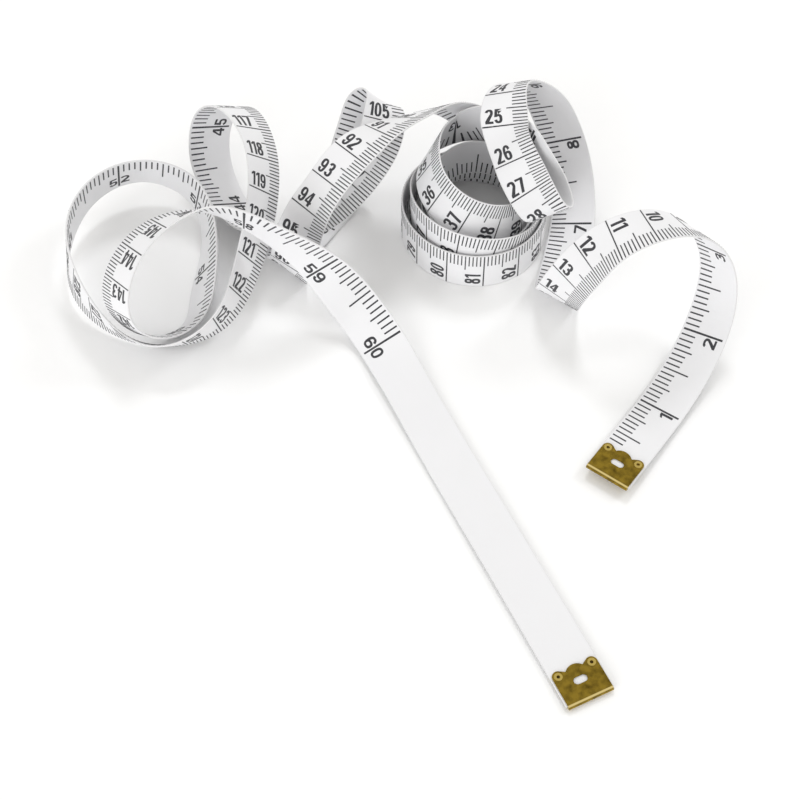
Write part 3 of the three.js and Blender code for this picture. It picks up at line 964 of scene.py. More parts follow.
@dataclass(frozen=True)
class FloorFinish:
    """Matt white paper."""

    white: tuple[float, float, float] = (0.985, 0.985, 0.985)
    shade: tuple[float, float, float] = (0.97, 0.97, 0.975)
    fibre_scale: float = 90.0
    fibre_detail: float = 4.0
    gloss: float = 0.1
    roughness: float = 0.9

    def material(self) -> bpy.types.Material:
        """Builds the material.

        Returns:
            The material, which reads the object's own coordinates.
        """
        material, graph, shader = new_material("white_paper")
        place = graph.add("ShaderNodeTexCoord").outputs["Object"]
        fibre = graph.noise(place, self.fibre_scale, self.fibre_detail)
        graph.feed(shader, "Base Color", graph.mix(fibre, self.white, self.shade))
        graph.feed(shader, "Roughness", self.roughness)
        graph.feed(shader, "Specular IOR Level", self.gloss)
        return material


@dataclass
class EyeletHoles:
    """Where the two eyelets of a clip go through the tape, from the tape's own end."""

    setback: float
    offset: float
    radius: float


@dataclass
class TapeBand:
    """The cloth band, cut into the three pieces that its joints need."""

    route: TapeRoute
    width: float = 13 * MM
    thickness: float = 0.5 * MM
    edge_round: float = 0.2 * MM
    edge_support: float = 0.7 * MM
    face_steps: int = 5
    edge_steps: int = 3
    end_support: float = 0.02 * MM
    end_margin: float = 0.1 * MM
    drill_length: float = 2 * MM
    drill_sides: int = 32
    lap: float = 12 * MM
    bend_reach: float = 8 * MM

    def profile(self) -> list[Point]:
        """Draws the band's cross-section, rounded along its edges.

        Returns:
            The points of a closed loop: Y across the band and Z through it.
        """
        half, high, round_off = self.width / 2, self.thickness / 2, self.edge_round
        corner = [math.pi / 2 * i / self.edge_steps for i in range(self.edge_steps + 1)]
        flat = half - self.edge_support
        side = [(flat * i / self.face_steps, high) for i in range(self.face_steps + 1)]
        side += [
            (half - round_off + round_off * math.sin(a), high - round_off + round_off * math.cos(a))
            for a in corner
        ]
        right = side + [(y, -z) for y, z in reversed(side)]
        left = [(-y, z) for y, z in reversed(right) if y > 0]
        return right + left

    def cut(self, first: float, last: float) -> bpy.types.Mesh:
        """Cuts a flat length of the band.

        Args:
            first: the running length where it starts.
            last: the running length where it ends.

        Returns:
            A closed flat mesh that carries its place on the cut.
        """
        inside = self.route.travelled
        inside = inside[(inside > first + self.end_margin) & (inside < last - self.end_margin)]
        lengths = np.concatenate([[first, first + self.end_support], inside, [last - self.end_support, last]])
        profile = np.array(self.profile())
        ring = len(profile)
        points = np.empty((len(lengths), ring, 3))
        points[:, :, 0] = lengths[:, None]
        points[:, :, 1:] = profile
        points = points.reshape(-1, 3)
        faces = ring_faces(len(lengths), ring, closed=False)
        faces += [tuple(range(ring))[::-1], tuple(range(len(points) - ring, len(points)))]
        mesh = bpy.data.meshes.new("band")
        mesh.from_pydata(points.tolist(), [], faces)
        mesh.polygons.foreach_set("use_smooth", [True] * (len(faces) - 2) + [False] * 2)
        write_cut_map(mesh, points[:, :2] / MM)
        outward(mesh)
        return mesh

    def punch(self, mesh: bpy.types.Mesh, end: float, inward: float, holes: EyeletHoles) -> bpy.types.Mesh:
        """Punches the eyelet holes through a flat length of the band.

        Args:
            mesh: the flat length.
            end: the running length of the band's own end.
            inward: 1 where the way in runs with the route, or -1.
            holes: where the holes are.

        Returns:
            The punched mesh.
        """
        carrier = new_object("band_flat", mesh)
        drills = []
        for side in (-1, 1):
            place = Matrix.Translation((end + inward * holes.setback, side * holes.offset, 0))
            made = bmesh.new()
            bmesh.ops.create_cone(
                made, cap_ends=True, segments=self.drill_sides, radius1=holes.radius,
                radius2=holes.radius, depth=self.drill_length, matrix=place,
            )
            drills.append(new_object("drill", mesh_from(made, "drill")))
            modifier = carrier.modifiers.new("punch", "BOOLEAN")
            modifier.operation = "DIFFERENCE"
            modifier.solver = "EXACT"
            modifier.object = drills[-1]
        punched = plain_mesh(carrier)
        for drill in drills:
            bpy.data.objects.remove(drill)
        return punched

    @property
    def start_cut(self) -> float:
        """The running length where the start piece ends and the main piece begins."""
        return self.route.start_joint + self.lap

    @property
    def tail_cut(self) -> float:
        """The running length where the main piece ends and the tail piece begins."""
        return self.route.tail_joint - self.lap

    def bend_at_start(self, piece: bpy.types.Object) -> None:
        """Bakes a piece's placing into its mesh; the reach around the start's joint is worked out but not
        used.

        Args:
            piece: the piece, in place.
        """
        joint = self.route.start_joint
        fixed, free = (self.route.point(joint + side * self.bend_reach) for side in (1, -1))
        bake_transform(piece)

    def bend_at_tail(self, piece: bpy.types.Object) -> None:
        """Bakes a piece's placing into its mesh; the reach around the tail's joint is worked out but not
        used.

        Args:
            piece: the piece, in place.
        """
        joint = self.route.tail_joint
        fixed, free = (self.route.point(joint - side * self.bend_reach) for side in (1, -1))
        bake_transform(piece)


@dataclass(frozen=True)
class TickRow:
    """One scale of ticks, in metres: how far apart, how long and how heavy they are."""

    face: Face
    pitch: float
    last: int
    whole_every: int
    half_every: int
    quarter_every: int
    whole_length: float
    half_length: float
    quarter_length: float
    short_length: float
    line: float
    whole_line: float
    margin: float


@dataclass(frozen=True)
class NumberRow:
    """One scale of numbers, in metres: their size and where they stand by their lines.

    The figures' width and their upright and level strokes are shares of their height.
    """

    face: Face
    pitch: float
    last: int
    height: float
    width: float
    stem: float
    bar: float
    spacing: float
    line_gap: float
    foot: float


INCH_TICKS = TickRow(
    face=Face.INCH, pitch=INCH / 16, last=960, whole_every=16, half_every=8, quarter_every=4,
    whole_length=11.5 * MM, half_length=7.3 * MM, quarter_length=5.2 * MM, short_length=4.0 * MM,
    line=0.4 * MM, whole_line=0.55 * MM, margin=0.55 * MM,
)
CENTIMETRE_TICKS = TickRow(
    face=Face.CENTIMETRE, pitch=1 * MM, last=1500, whole_every=10, half_every=5, quarter_every=5,
    whole_length=12.6 * MM, half_length=5.6 * MM, quarter_length=5.6 * MM, short_length=4.0 * MM,
    line=0.3 * MM, whole_line=0.34 * MM, margin=0.2 * MM,
)
INCH_NUMBERS = NumberRow(
    face=Face.INCH, pitch=INCH, last=60, height=3.6 * MM, width=0.72, stem=0.2, bar=0.17,
    spacing=0.3 * MM, line_gap=0.55 * MM, foot=-4.3 * MM,
)
CENTIMETRE_NUMBERS = NumberRow(
    face=Face.CENTIMETRE, pitch=10 * MM, last=150, height=4.2 * MM, width=0.53, stem=0.185, bar=0.145,
    spacing=0.3 * MM, line_gap=0.75 * MM, foot=5.25 * MM,
)


@dataclass(frozen=True)
class FigureShapes:
    """Outlines of the ten figures in a plain bold hand, one unit high.

    A figure is a list of closed loops: its outline first, then its holes.
    """

    width: float
    stem: float
    bar: float
    squareness: float = 2.5
    arc_step: float = 20.0

    def oval(self, x: float, y: float, wide: float, high: float, start: float, end: float) -> list[Point]:
        """Points of a squarish oval's arc, both ends included.

        Args:
            x: the centre's place to the right.
            y: the centre's place up.
            wide: half the oval's width.
            high: half its height.
            start: the first angle in degrees.
            end: the last angle in degrees.

        Returns:
            The points in order.
        """
        steps = math.ceil(abs(end - start) / self.arc_step)
        power = 2 / self.squareness
        points = []
        for i in range(steps + 1):
            angle = math.radians(start + (end - start) * i / steps)
            right, up = math.cos(angle), math.sin(angle)
            right = math.copysign(abs(right) ** power, right)
            up = math.copysign(abs(up) ** power, up)
            points.append((x + wide * right, y + high * up))
        return points

    def ring(self, x: float, y: float, wide: float, high: float) -> list[Point]:
        """A whole oval."""
        return self.oval(x, y, wide, high, 0, 360)[:-1]

    def zero(self) -> list[list[Point]]:
        """The figure 0."""
        half = self.width / 2
        return [self.ring(half, 0.5, half, 0.5), self.ring(half, 0.5, half - self.stem, 0.5 - self.bar)]

    def one(self) -> list[list[Point]]:
        """The figure 1, a stem with a short flag."""
        left, right = 0.32 * self.width, 0.32 * self.width + self.stem
        return [[(left, 0), (right, 0), (right, 1), (left, 1), (0, 0.87), (0, 0.72), (left, 0.81)]]

    def two(self) -> list[list[Point]]:
        """The figure 2.

        Returns:
            Its outline.
        """
        half, middle = self.width / 2, 0.73
        outer = self.oval(half, middle, half, 1 - middle, 172, -28)
        inner = self.oval(half, middle, half - self.stem, 1 - middle - self.bar, -38, 172)
        turn = 0.6 * (half + self.stem)
        foot = [(turn, self.bar), (self.width, self.bar), (self.width, 0), (0, 0), (0, self.bar)]
        return [outer + foot + inner]

    def three(self) -> list[list[Point]]:
        """The figure 3.

        Returns:
            Its outline.
        """
        half, upper, lower = self.width / 2, 0.735, 0.29
        bowl, notch = 0.94 * half, 0.76 * half
        outer = self.oval(half, upper, bowl, 1 - upper, 170, -48) + [(1.72 * half, 0.53)]
        outer += self.oval(half, lower, half, lower, 48, -170)
        inner = self.oval(half, lower, half - self.stem, lower - self.bar, -170, 78)
        back = self.oval(half, upper, bowl - self.stem, 1 - upper - self.bar, -78, 170)
        return [outer + inner + [(notch, inner[-1][1]), (notch, back[0][1])] + back]

    def four(self) -> list[list[Point]]:
        """The figure 4.

        Returns:
            Its outline and its hole.
        """
        right, low = 0.86 * self.width, 0.2
        left, high = right - self.stem, low + self.bar
        outline = [(left, 0), (right, 0), (right, low), (self.width, low), (self.width, high)]
        outline += [(right, high), (right, 1), (0.94 * left, 1), (0, high), (0, low), (left, low)]
        return [outline, [(0.72 * self.stem, high), (left, high), (left, 0.76)]]

    def five(self) -> list[list[Point]]:
        """The figure 5.

        Returns:
            Its outline.
        """
        half, middle, right = self.width / 2, 0.315, 0.93 * self.width
        left, stem = 0.08 * self.width, 0.9 * self.stem
        outline = [(left, 1), (right, 1), (right, 1 - self.bar)]
        outline += [(left + stem, 1 - self.bar), (left + stem, 0.6)]
        outline += self.oval(half, middle, half, middle, 108, -168)
        outline += self.oval(half, middle, half - self.stem, middle - self.bar, -168, 140)
        return [outline + [(0.02 * self.width, 0.43)]]

    def six(self) -> list[list[Point]]:
        """The figure 6.

        Returns:
            Its outline and its hole.
        """
        half, middle = self.width / 2, 0.31
        outline = self.oval(half, 0.5, half, 0.5, 22, 270)[:-1]
        outline += self.oval(half, middle, half, middle, -90, 112)
        outline += self.oval(half, 0.5, half - self.stem, 0.5 - self.bar, 158, 22)
        return [outline, self.ring(half, middle, half - self.stem, middle - self.bar)]

    def seven(self) -> list[list[Point]]:
        """The figure 7.

        Returns:
            Its outline.
        """
        wide, foot, stem = self.width, 0.2 * self.width, 1.08 * self.stem
        slope = [(foot + stem, 0), (foot, 0), (wide - stem, 1 - self.bar)]
        return [[(0, 1), (wide, 1), (wide, 1 - self.bar), *slope, (0, 1 - self.bar)]]

    def eight(self) -> list[list[Point]]:
        """The figure 8.

        Returns:
            Its outline and its holes.
        """
        half, upper, lower = self.width / 2, 0.755, 0.275
        bowl = 0.92 * half
        right = self.oval(half, lower, half, lower, -90, 58)
        right += self.oval(half, upper, bowl, 1 - upper, -52, 90)
        left = [(self.width - x, y) for x, y in reversed(right[1:-1])]
        holes = [self.ring(half, lower, half - self.stem, lower - self.bar)]
        holes.append(self.ring(half, upper, bowl - self.stem, 1 - upper - self.bar))
        return [right + left, *holes]

    def nine(self) -> list[list[Point]]:
        """The figure 9, which is a 6 turned over."""
        return [[(self.width - x, 1 - y) for x, y in loop] for loop in self.six()]

    def loops(self, figure: str) -> list[list[Point]]:
        """The loops of one figure.

        Args:
            figure: a figure from 0 to 9.

        Returns:
            Its outline and holes.
        """
        makers = (
            self.zero, self.one, self.two, self.three, self.four,
            self.five, self.six, self.seven, self.eight, self.nine,
        )
        return makers[int(figure)]()


@dataclass
class Numerals:
    """The ten figures of one scale as thin flat plates, cut into strips that bend with the tape.

    The ink is the plates' thickness, and the strip is the widest part between two cuts.
    """

    row: NumberRow
    ink: float
    strip: float = 0.5 * MM

    def __post_init__(self) -> None:
        """Makes the figures."""
        self.shapes = FigureShapes(self.row.width, self.row.stem, self.row.bar)
        self.width: dict[str, float] = {}
        self.points: dict[str, np.ndarray] = {}
        self.faces: dict[str, list[list[int]]] = {}
        for figure in "0123456789":
            self._make(figure)

    def to_flat(self, right: float, up: float) -> Point:
        """Turns a figure's own directions into the flat band's.

        Args:
            right: a place along the line of writing.
            up: a place up from its foot.

        Returns:
            The running length and the place across, both from the figure's corner.
        """
        return (right, up) if self.row.face is Face.INCH else (-up, -right)

    def _make(self, figure: str) -> None:
        """Makes one figure's plate with its lower left corner at the origin.

        Args:
            figure: a figure from 0 to 9.
        """
        high, loops = self.row.height, self.shapes.loops(figure)
        self.width[figure] = max(x for x, _ in loops[0]) * high
        work = bmesh.new()
        fill_loops(work, [[self.to_flat(x * high, y * high) for x, y in loop] for loop in loops])
        join_level_faces(work)
        cut_across(work, self._strip_lines(work))
        bmesh.ops.recalc_face_normals(work, faces=work.faces)
        grown = bmesh.ops.extrude_face_region(work, geom=work.faces[:])["geom"]
        lifted = [part for part in grown if isinstance(part, bmesh.types.BMVert)]
        bmesh.ops.translate(work, verts=lifted, vec=(0, 0, self.ink))
        bmesh.ops.recalc_face_normals(work, faces=work.faces)
        work.verts.index_update()
        self.points[figure] = np.array([v.co[:] for v in work.verts])
        self.faces[figure] = [[v.index for v in f.verts] for f in work.faces]
        work.free()

    def _strip_lines(self, work: bmesh.types.BMesh) -> list[float]:
        """Finds where a flat figure is cut across the tape's length.

        Args:
            work: the flat figure.

        Returns:
            The running length of each cut, from the figure's corner.
        """
        low = min(v.co.x for v in work.verts)
        high = max(v.co.x for v in work.verts)
        count = math.ceil((high - low) / self.strip)
        return [low + (high - low) * i / count for i in range(1, count)]


@dataclass
class PrintedScale:
    """The ink on one face of the band: its ticks and its numbers."""

    band: TapeBand
    ticks: TickRow
    numbers: NumberRow
    ink: float = 0.05 * MM
    sunk: float = 0.015 * MM

    def __post_init__(self) -> None:
        """Makes the figures and works out on which side and how high the ink lies."""
        self.numerals = Numerals(self.numbers, self.ink)
        self.side = self.ticks.face.value
        self.bottom = self.band.thickness / 2 - self.sunk

    def tick_bar(self) -> bpy.types.Mesh:
        """Makes the bar that every tick is a copy of.

        Returns:
            A bar of unit size, centred on the origin.
        """
        work = bmesh.new()
        bmesh.ops.create_cube(work, size=1.0)
        return mesh_from(work, "bar")

    def tick_values(self, first: float, last: float) -> dict[str, object]:
        """The inputs of the tick tree for part of the tape.

        Args:
            first: the running length where the part starts.
            last: the running length where it ends.

        Returns:
            The inputs by name.
        """
        row = self.ticks
        low = math.ceil(first / row.pitch)
        high = min(row.last, math.ceil(last / row.pitch) - 1)
        edge = self.band.width / 2 - row.margin
        return {
            "Pitch": row.pitch, "First": low, "Count": high - low + 1,
            "Foot": edge * self.side, "Inward": -1.0 * self.side,
            "Height": self.side * (self.bottom + self.ink / 2), "Ink": self.ink,
            "Line": row.line, "Whole line": row.whole_line,
            "Whole length": row.whole_length, "Half length": row.half_length,
            "Quarter length": row.quarter_length, "Short length": row.short_length,
            "Whole every": row.whole_every, "Half every": row.half_every,
            "Quarter every": row.quarter_every,
        }

    def figure_places(self, number: int) -> list[tuple[str, float, float]]:
        """Where the figures of one number stand.

        Args:
            number: the number at its line.

        Returns:
            Each figure with the running length and the place across of its corner.
        """
        row, text = self.numbers, str(number)
        line = number * row.pitch
        if row.face is Face.INCH:
            before = text[:1]
            places = [(before, line - row.line_gap - self.numerals.width[before], row.foot)]
            return places + [(c, line + row.line_gap, row.foot) for c in text[1:]]
        places, across = [], row.foot
        for c in text:
            places.append((c, line - row.line_gap, across))
            across -= self.numerals.width[c] + row.spacing
        return places

    def number_plates(self, first: float, last: float) -> bpy.types.Mesh:
        """All numbers of part of the tape as one flat mesh.

        Args:
            first: the running length where the part starts.
            last: the running length where it ends.

        Returns:
            The flat mesh, at its height above the band.
        """
        points, faces, count = [], [], 0
        for number in range(1, self.numbers.last + 1):
            if not first <= number * self.numbers.pitch < last:
                continue
            for figure, along, across in self.figure_places(number):
                plate = self.numerals.points[figure] + (along, across, 0.0)
                points.append(plate)
                faces += [[count + i for i in face] for face in self.numerals.faces[figure]]
                count += len(plate)
        everything = np.concatenate(points)
        everything[:, 2] += self.bottom if self.side > 0 else -self.bottom - self.ink
        mesh = bpy.data.meshes.new("numbers")
        mesh.from_pydata(everything.tolist(), [], faces)
        outward(mesh)
        return mesh


@dataclass
class EndClip:
    """A clip folded from brass sheet over the tape's end and held by two eyelets.

    Its own frame has X in along the tape from the fold, Y across it and Z out of the inch face.
    """

    tape_thickness: float
    width: float = 12.2 * MM
    depth: float = 9.2 * MM
    sheet: float = 0.35 * MM
    grip_clearance: float = 0.1 * MM
    fold_clearance: float = 0.2 * MM
    lobe_radius: float = 1.55 * MM
    lobe_turn: float = 2 * math.pi / 3
    crown_radius: float = 3 * MM
    crown_notch: float = 1.1 * MM
    slot_length: float = 3.6 * MM
    slot_width: float = 1.9 * MM
    slot_setback: float = 4.9 * MM
    arc_steps: int = 14
    fold_steps: int = 18
    weld: float = 0.001 * MM
    edge_bevel: float = 0.09 * MM
    bevel_steps: int = 3
    sharp_angle: float = math.radians(50)
    flat_from: float = 0.9999
    barrel_radius: float = 0.62 * MM
    bore_radius: float = 0.36 * MM
    flange_radius: float = 1.1 * MM
    flange_thickness: float = 0.24 * MM
    hole_clearance: float = 0.1 * MM
    flange_steps: int = 10
    flange_sharp_angle: float = math.radians(60)
    turns: int = 40

    @property
    def fold_radius(self) -> float:
        """The radius of the fold at the middle of the sheet."""
        return self.tape_thickness / 2 + self.grip_clearance + self.sheet / 2

    @property
    def fold_reach(self) -> float:
        """How far the fold goes to each side on the flat cut."""
        return self.fold_radius * math.pi / 2

    @property
    def hole_radius(self) -> float:
        """The radius of the holes that the eyelets go through."""
        return self.barrel_radius + self.hole_clearance

    @property
    def lobe_offset(self) -> float:
        """How far each lobe's centre is from the middle of the clip."""
        return self.width / 2 - self.lobe_radius

    @property
    def lobe_setback(self) -> float:
        """How far in each lobe's centre is from the fold."""
        return self.depth - self.lobe_radius

    @property
    def holes(self) -> EyeletHoles:
        """The holes through the tape, from its own end."""
        setback = self.lobe_setback - self.fold_clearance
        return EyeletHoles(setback, self.lobe_offset, self.hole_radius)

    def arc(self, x: float, y: float, radius: float, start: float, end: float) -> list[Point]:
        """Points of an arc, both ends included.

        Args:
            x: the centre's place in from the fold.
            y: the centre's place across.
            radius: the arc's radius.
            start: its first angle.
            end: its last angle.

        Returns:
            The points in order.
        """
        angles = [start + (end - start) * i / self.arc_steps for i in range(self.arc_steps + 1)]
        return [(x + radius * math.cos(a), y + radius * math.sin(a)) for a in angles]

    def crown(self) -> list[Point]:
        """Draws the inner edge of one leaf.

        Returns:
            The points of a lobe, the middle arc and the other lobe.
        """
        down = -math.pi / 2
        spread = math.acos(1 - self.crown_notch / self.crown_radius)
        lobe = self.arc(self.lobe_setback, -self.lobe_offset, self.lobe_radius, down, down + self.lobe_turn)
        middle = self.arc(self.depth - self.crown_radius, 0, self.crown_radius, -spread, 0)
        half = lobe + middle
        return half + [(x, -y) for x, y in reversed(half[:-1])]

    def loops(self) -> list[list[Point]]:
        """Draws the flat cut of the clip.

        Returns:
            Closed loops: the outline, then the holes of both leaves.
        """
        straight = (self.slot_length - self.slot_width) / 2
        radius, setback = self.slot_width / 2, self.slot_setback
        slot = self.arc(setback, straight, radius, 0, math.pi)
        slot += self.arc(setback, -straight, radius, math.pi, 2 * math.pi)
        leaf = [self.crown(), slot]
        for side in (-1, 1):
            across = side * self.lobe_offset
            leaf.append(self.arc(self.lobe_setback, across, self.hole_radius, 0, 2 * math.pi)[:-1])
        upper = [[(x + self.fold_reach, y) for x, y in loop] for loop in leaf]
        lower = [[(-x, y) for x, y in reversed(loop)] for loop in upper]
        return [upper[0] + lower[0], *upper[1:], *lower[1:]]

    def folded(self, along: float, across: float) -> tuple[float, float, float]:
        """Folds a point of the flat cut round the tape's end.

        Args:
            along: its place on the cut from the middle of the fold.
            across: its place across the clip.

        Returns:
            Its place in the clip's own frame.
        """
        radius, reach = self.fold_radius, self.fold_reach
        if abs(along) < reach:
            angle = along / radius
            return (-radius * math.cos(angle), across, radius * math.sin(angle))
        return (abs(along) - reach, across, math.copysign(radius, along))

    def build_leaf(self, name: str, place: Matrix, finish: bpy.types.Material) -> bpy.types.Object:
        """Makes the folded sheet.

        Args:
            name: the piece's name.
            place: the clip's frame.
            finish: its material.

        Returns:
            The piece, in place.
        """
        work = bmesh.new()
        fill_loops(work, self.loops())
        bmesh.ops.remove_doubles(work, verts=work.verts, dist=self.weld)
        join_level_faces(work)
        steps = self.fold_steps
        cut_across(work, [self.fold_reach * (2 * i / steps - 1) for i in range(steps + 1)])
        bmesh.ops.recalc_face_normals(work, faces=work.faces)
        flat = np.array([v.co[:2] for v in work.verts])
        for v in work.verts:
            v.co = self.folded(v.co.x, v.co.y)
        mesh = mesh_from(work, name)
        write_cut_map(mesh, flat / MM)
        mesh.materials.append(finish)
        carrier = new_object(name + "_sheet", mesh)
        wall = carrier.modifiers.new("wall", "SOLIDIFY")
        wall.thickness = self.sheet
        wall.offset = 0.0
        bevel = carrier.modifiers.new("edges", "BEVEL")
        bevel.width = self.edge_bevel
        bevel.segments = self.bevel_steps
        bevel.angle_limit = self.sharp_angle
        made = plain_mesh(carrier)
        made.shade_smooth()
        made.set_sharp_from_angle(angle=self.sharp_angle)
        for face in made.polygons:
            face.use_smooth = abs(face.normal.z) < self.flat_from
        made.transform(place)
        return new_object(name, made)

    def eyelet_profile(self) -> list[Point]:
        """Draws the eyelet's cross-section, with rolled flanges.

        Returns:
            The points of a closed loop: radius and height.
        """
        seat = self.fold_radius + self.sheet / 2
        middle = (self.bore_radius + self.flange_radius) / 2
        reach = (self.flange_radius - self.bore_radius) / 2
        angles = [math.pi * i / self.flange_steps for i in range(self.flange_steps + 1)]
        upper = [
            (middle - reach * math.cos(a), seat + self.flange_thickness * math.sin(a)) for a in angles
        ]
        upper.append((self.barrel_radius, seat))
        return upper + [(r, -z) for r, z in reversed(upper)]

    def build_eyelet(
        self, name: str, place: Matrix, side: float, finish: bpy.types.Material
    ) -> bpy.types.Object:
        """Makes one clinched eyelet.

        Args:
            name: the piece's name.
            place: the clip's frame.
            side: 1 or -1, the side of the clip that it is on.
            finish: its material.

        Returns:
            The piece, in place.
        """
        profile = self.eyelet_profile()
        points, cut = [], []
        for i in range(self.turns):
            angle = 2 * math.pi * i / self.turns
            for radius, height in profile:
                points.append((radius * math.cos(angle), radius * math.sin(angle), height))
                cut.append((radius / MM, angle))
        mesh = bpy.data.meshes.new(name)
        mesh.from_pydata(points, [], ring_faces(self.turns, len(profile), closed=True))
        outward(mesh)
        write_cut_map(mesh, np.array(cut))
        mesh.materials.append(finish)
        mesh.transform(place @ Matrix.Translation((self.lobe_setback, side * self.lobe_offset, 0)))
        mesh.shade_smooth()
        mesh.set_sharp_from_angle(angle=self.flange_sharp_angle)
        return new_object(name, mesh)


@dataclass(frozen=True)
class SoftLight:
    """A soft square light: its place and side in metres, its power in watts."""

    name: str
    place: tuple[float, float, float]
    side: float
    power: float


@dataclass
class Studio:
    """The white floor, the soft lights and the camera at the photograph's place."""

    elevation: float = 55.4834
    distance: float = 446.2146 * MM
    aim: tuple[float, float, float] = CENTRING
    focal_pixels: float = 1671.92
    image_width: float = 800.0
    sensor: float = 36.0
    near_clip: float = 10 * MM
    floor_size: float = 6.0
    floor_drop: float = 0.05 * MM
    surround: tuple[float, float, float] = (1.0, 0.988, 0.955)
    surround_strength: float = 0.715
    light_colour: tuple[float, float, float] = (0.97, 0.98, 1.0)
    lights: tuple[SoftLight, ...] = (
        SoftLight("back", (0.06, 0.56, 0.83), side=0.22, power=2.0),
        SoftLight("right", (0.68, 0.32, 0.66), side=0.26, power=1.45),
        SoftLight("front", (-0.56, -0.84, 0.35), side=0.8, power=5.2),
    )

    def build_camera(self) -> None:
        """Makes the camera and hands it to the scene."""
        camera = bpy.data.cameras.new("camera")
        camera.sensor_width = self.sensor
        camera.lens = self.focal_pixels / self.image_width * self.sensor
        camera.clip_start = self.near_clip
        holder = bpy.data.objects.new("camera", camera)
        rise = math.radians(self.elevation)
        back = Vector((0, -math.cos(rise), math.sin(rise)))
        holder.location = Vector(self.aim) + back * self.distance
        holder.rotation_euler = (math.pi / 2 - rise, 0, 0)
        bpy.context.scene.collection.objects.link(holder)
        bpy.context.scene.camera = holder

    def build_floor(self) -> None:
        """Lays the floor."""
        half = self.floor_size / 2
        mesh = bpy.data.meshes.new("floor")
        corners = [(-half, -half), (half, -half), (half, half), (-half, half)]
        mesh.from_pydata([(x, y, -self.floor_drop) for x, y in corners], [], [(0, 1, 2, 3)])
        mesh.materials.append(FloorFinish().material())
        new_object("floor", mesh)

    def hang(self, light: SoftLight) -> None:
        """Hangs one light that faces the object and isn't mirrored in the brass.

        Args:
            light: the light to hang.
        """
        lamp = bpy.data.lights.new(light.name, "AREA")
        lamp.size = light.side
        lamp.energy = light.power
        lamp.color = self.light_colour
        holder = bpy.data.objects.new(light.name, lamp)
        holder.location = light.place
        holder.rotation_euler = (-Vector(light.place)).to_track_quat("-Z", "Y").to_euler()
        holder.visible_glossy = False
        bpy.context.scene.collection.objects.link(holder)

    def build_lights(self) -> None:
        """Makes the even surrounding light and the soft lights."""
        world = bpy.data.worlds.new("studio")
        world.use_nodes = True
        background = world.node_tree.nodes["Background"]
        background.inputs["Color"].default_value = (*self.surround, 1.0)
        background.inputs["Strength"].default_value = self.surround_strength
        bpy.context.scene.world = world
        for light in self.lights:
            self.hang(light)
        bpy.context.scene.view_settings.view_transform = "Standard"

    def build(self) -> None:
        """Builds the whole studio."""
        self.build_camera()
        self.build_floor()
        self.build_lights()


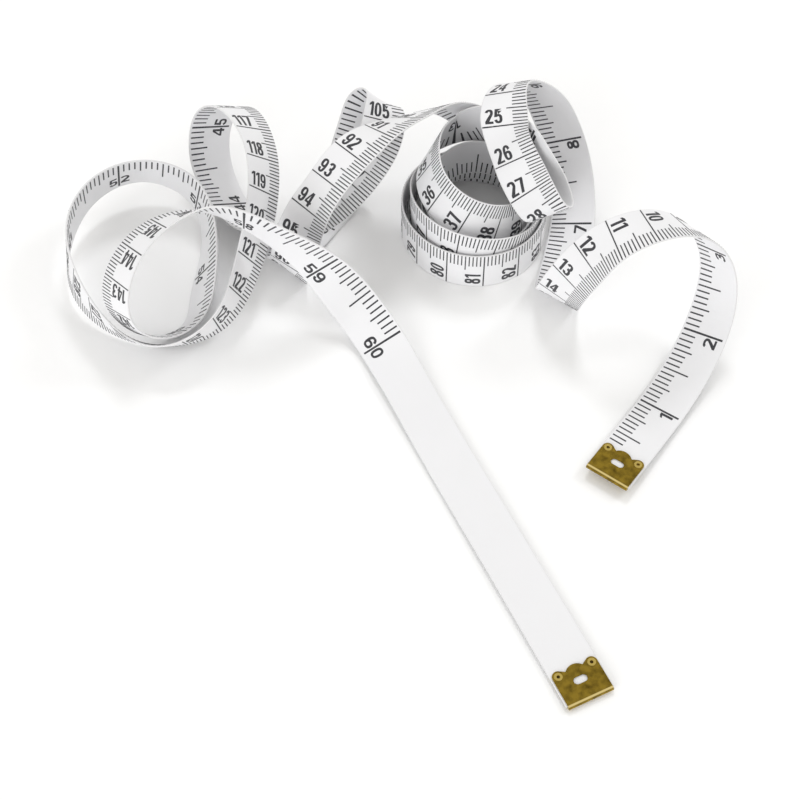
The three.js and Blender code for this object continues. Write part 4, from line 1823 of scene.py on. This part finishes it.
class TapeMeasure:
    """The whole object: the band, its print and its two clips."""

    MAIN_NODES = (
        "right_arch", "back_hoop", "coil", "crossing_loop", "left_loop", "side_ring", "run_out",
    )

    def __init__(self) -> None:
        """Works out the route, the trees and the finishes."""
        self.route = TapeRoute()
        self.band = TapeBand(self.route)
        self.clip = EndClip(self.band.thickness)
        self.line = self.route.build()
        self.lay = lay_tree()
        self.row = tick_tree(self.lay)
        self.cloth = ClothFinish().material()
        self.ink = InkFinish().material()
        self.scales = [
            ("inch", PrintedScale(self.band, INCH_TICKS, INCH_NUMBERS)),
            ("centimetre", PrintedScale(self.band, CENTIMETRE_TICKS, CENTIMETRE_NUMBERS)),
        ]

    def lay_cloth(self, name: str, mesh: bpy.types.Mesh) -> bpy.types.Object:
        """Lays one flat length of cloth along the route.

        Args:
            name: the piece's name.
            mesh: the flat piece.

        Returns:
            The piece, in place.
        """
        return run_tree(name, mesh, self.lay, {"Route": self.line, "Finish": self.cloth, "Slip": 0.0})

    def print_part(
        self, part: str, first: float, last: float, hold: Callable[[bpy.types.Object], None]
    ) -> list[bpy.types.Object]:
        """Prints both faces of part of the tape.

        Args:
            part: the part's name.
            first: the running length where it starts.
            last: the running length where it ends.
            hold: what makes a piece move with its body.

        Returns:
            The printed pieces.
        """
        made = []
        for title, scale in self.scales:
            values = {"Route": self.line, "Finish": self.ink}
            rows = values | scale.tick_values(first, last)
            made.append(run_tree(f"{title}_ticks_{part}", scale.tick_bar(), self.row, rows))
            plates = scale.number_plates(first, last)
            made.append(run_tree(f"{title}_numbers_{part}", plates, self.lay, values | {"Slip": 1.0}))
        for piece in made:
            hold(piece)
        return made

    def build_band(self) -> None:
        """Makes the three lengths of the band with their print."""
        band, length = self.band, self.route.length
        covered = self.clip.depth - self.clip.crown_notch

        def ride_on_tape(piece: bpy.types.Object) -> None:
            """Holds a piece to the lying tape."""
            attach(piece, Body.TAPE.value)

        start_mesh = band.punch(band.cut(0.0, band.start_cut), 0.0, 1, self.clip.holes)
        tail_mesh = band.punch(band.cut(band.tail_cut, length), length, -1, self.clip.holes)
        start = self.lay_cloth("tape_start", start_mesh)
        main = self.lay_cloth("tape_main", band.cut(band.start_cut, band.tail_cut))
        tail = self.lay_cloth("tape_tail", tail_mesh)
        band.bend_at_start(start)
        ride_on_tape(main)
        band.bend_at_tail(tail)
        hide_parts("start_stretch")
        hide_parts(*self.MAIN_NODES)
        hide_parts("tail_leader")
        start_ink = self.print_part("start", covered, band.start_cut, band.bend_at_start)
        main_ink = self.print_part("main", band.start_cut, band.tail_cut, ride_on_tape)
        lengths = [
            (start, band.start_cut, start_ink),
            (main, band.tail_cut - band.start_cut, main_ink),
            (tail, length - band.tail_cut, []),
        ]
        for piece, long, ink in lengths:
            LOG.info("%s: %.0f mm of tape with %d printed pieces", piece.name, long / MM, len(ink))

    def build_clips(self) -> None:
        """Makes both clips with their eyelets."""
        sheet = BrassFinish("brushed_brass").material()
        gold, dull = (0.66, 0.5, 0.14), (0.38, 0.27, 0.06)
        # The eyelets' painted highlight is plain gold: a ring round the flange's crest is painted bright and
        # free of tarnish.
        rolled = BrassFinish("rolled_brass", bright=gold, tarnished=dull, rubbed=gold).material()
        for prefix, row, inward, body in (("start", 0, 1, Body.START), ("tail", -1, -1, Body.TAIL)):
            place = self.route.end_frame(row, inward, self.clip.fold_clearance)
            leaf = self.clip.build_leaf(f"{prefix}_clip_sheet", place, sheet)
            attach(leaf, body.value)
            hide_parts(f"{prefix}_clip")
            for label, side in (("left", 1), ("right", -1)):
                node = f"{prefix}_eyelet_{label}"
                eyelet = self.clip.build_eyelet(f"{node}_ring", place, side, rolled)
                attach(eyelet, body.value)
                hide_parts(node)
            LOG.info("%s: folded sheet and two eyelets on %s", leaf.name, body.value)

    def build(self) -> None:
        """Builds everything and removes the line that it was laid along."""
        self.build_band()
        self.build_clips()
        bpy.data.objects.remove(self.line)


def write_sizes() -> None:
    """Brings the view layer up to date; no sizes are written.
    """
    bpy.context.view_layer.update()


def main() -> None:
    """Builds the studio and the tape measure."""
    logging.basicConfig(level=logging.INFO, format="%(name)s: %(message)s")
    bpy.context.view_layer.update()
    Studio().build()
    TapeMeasure().build()
    write_sizes()


if __name__ == "__main__":
    main()
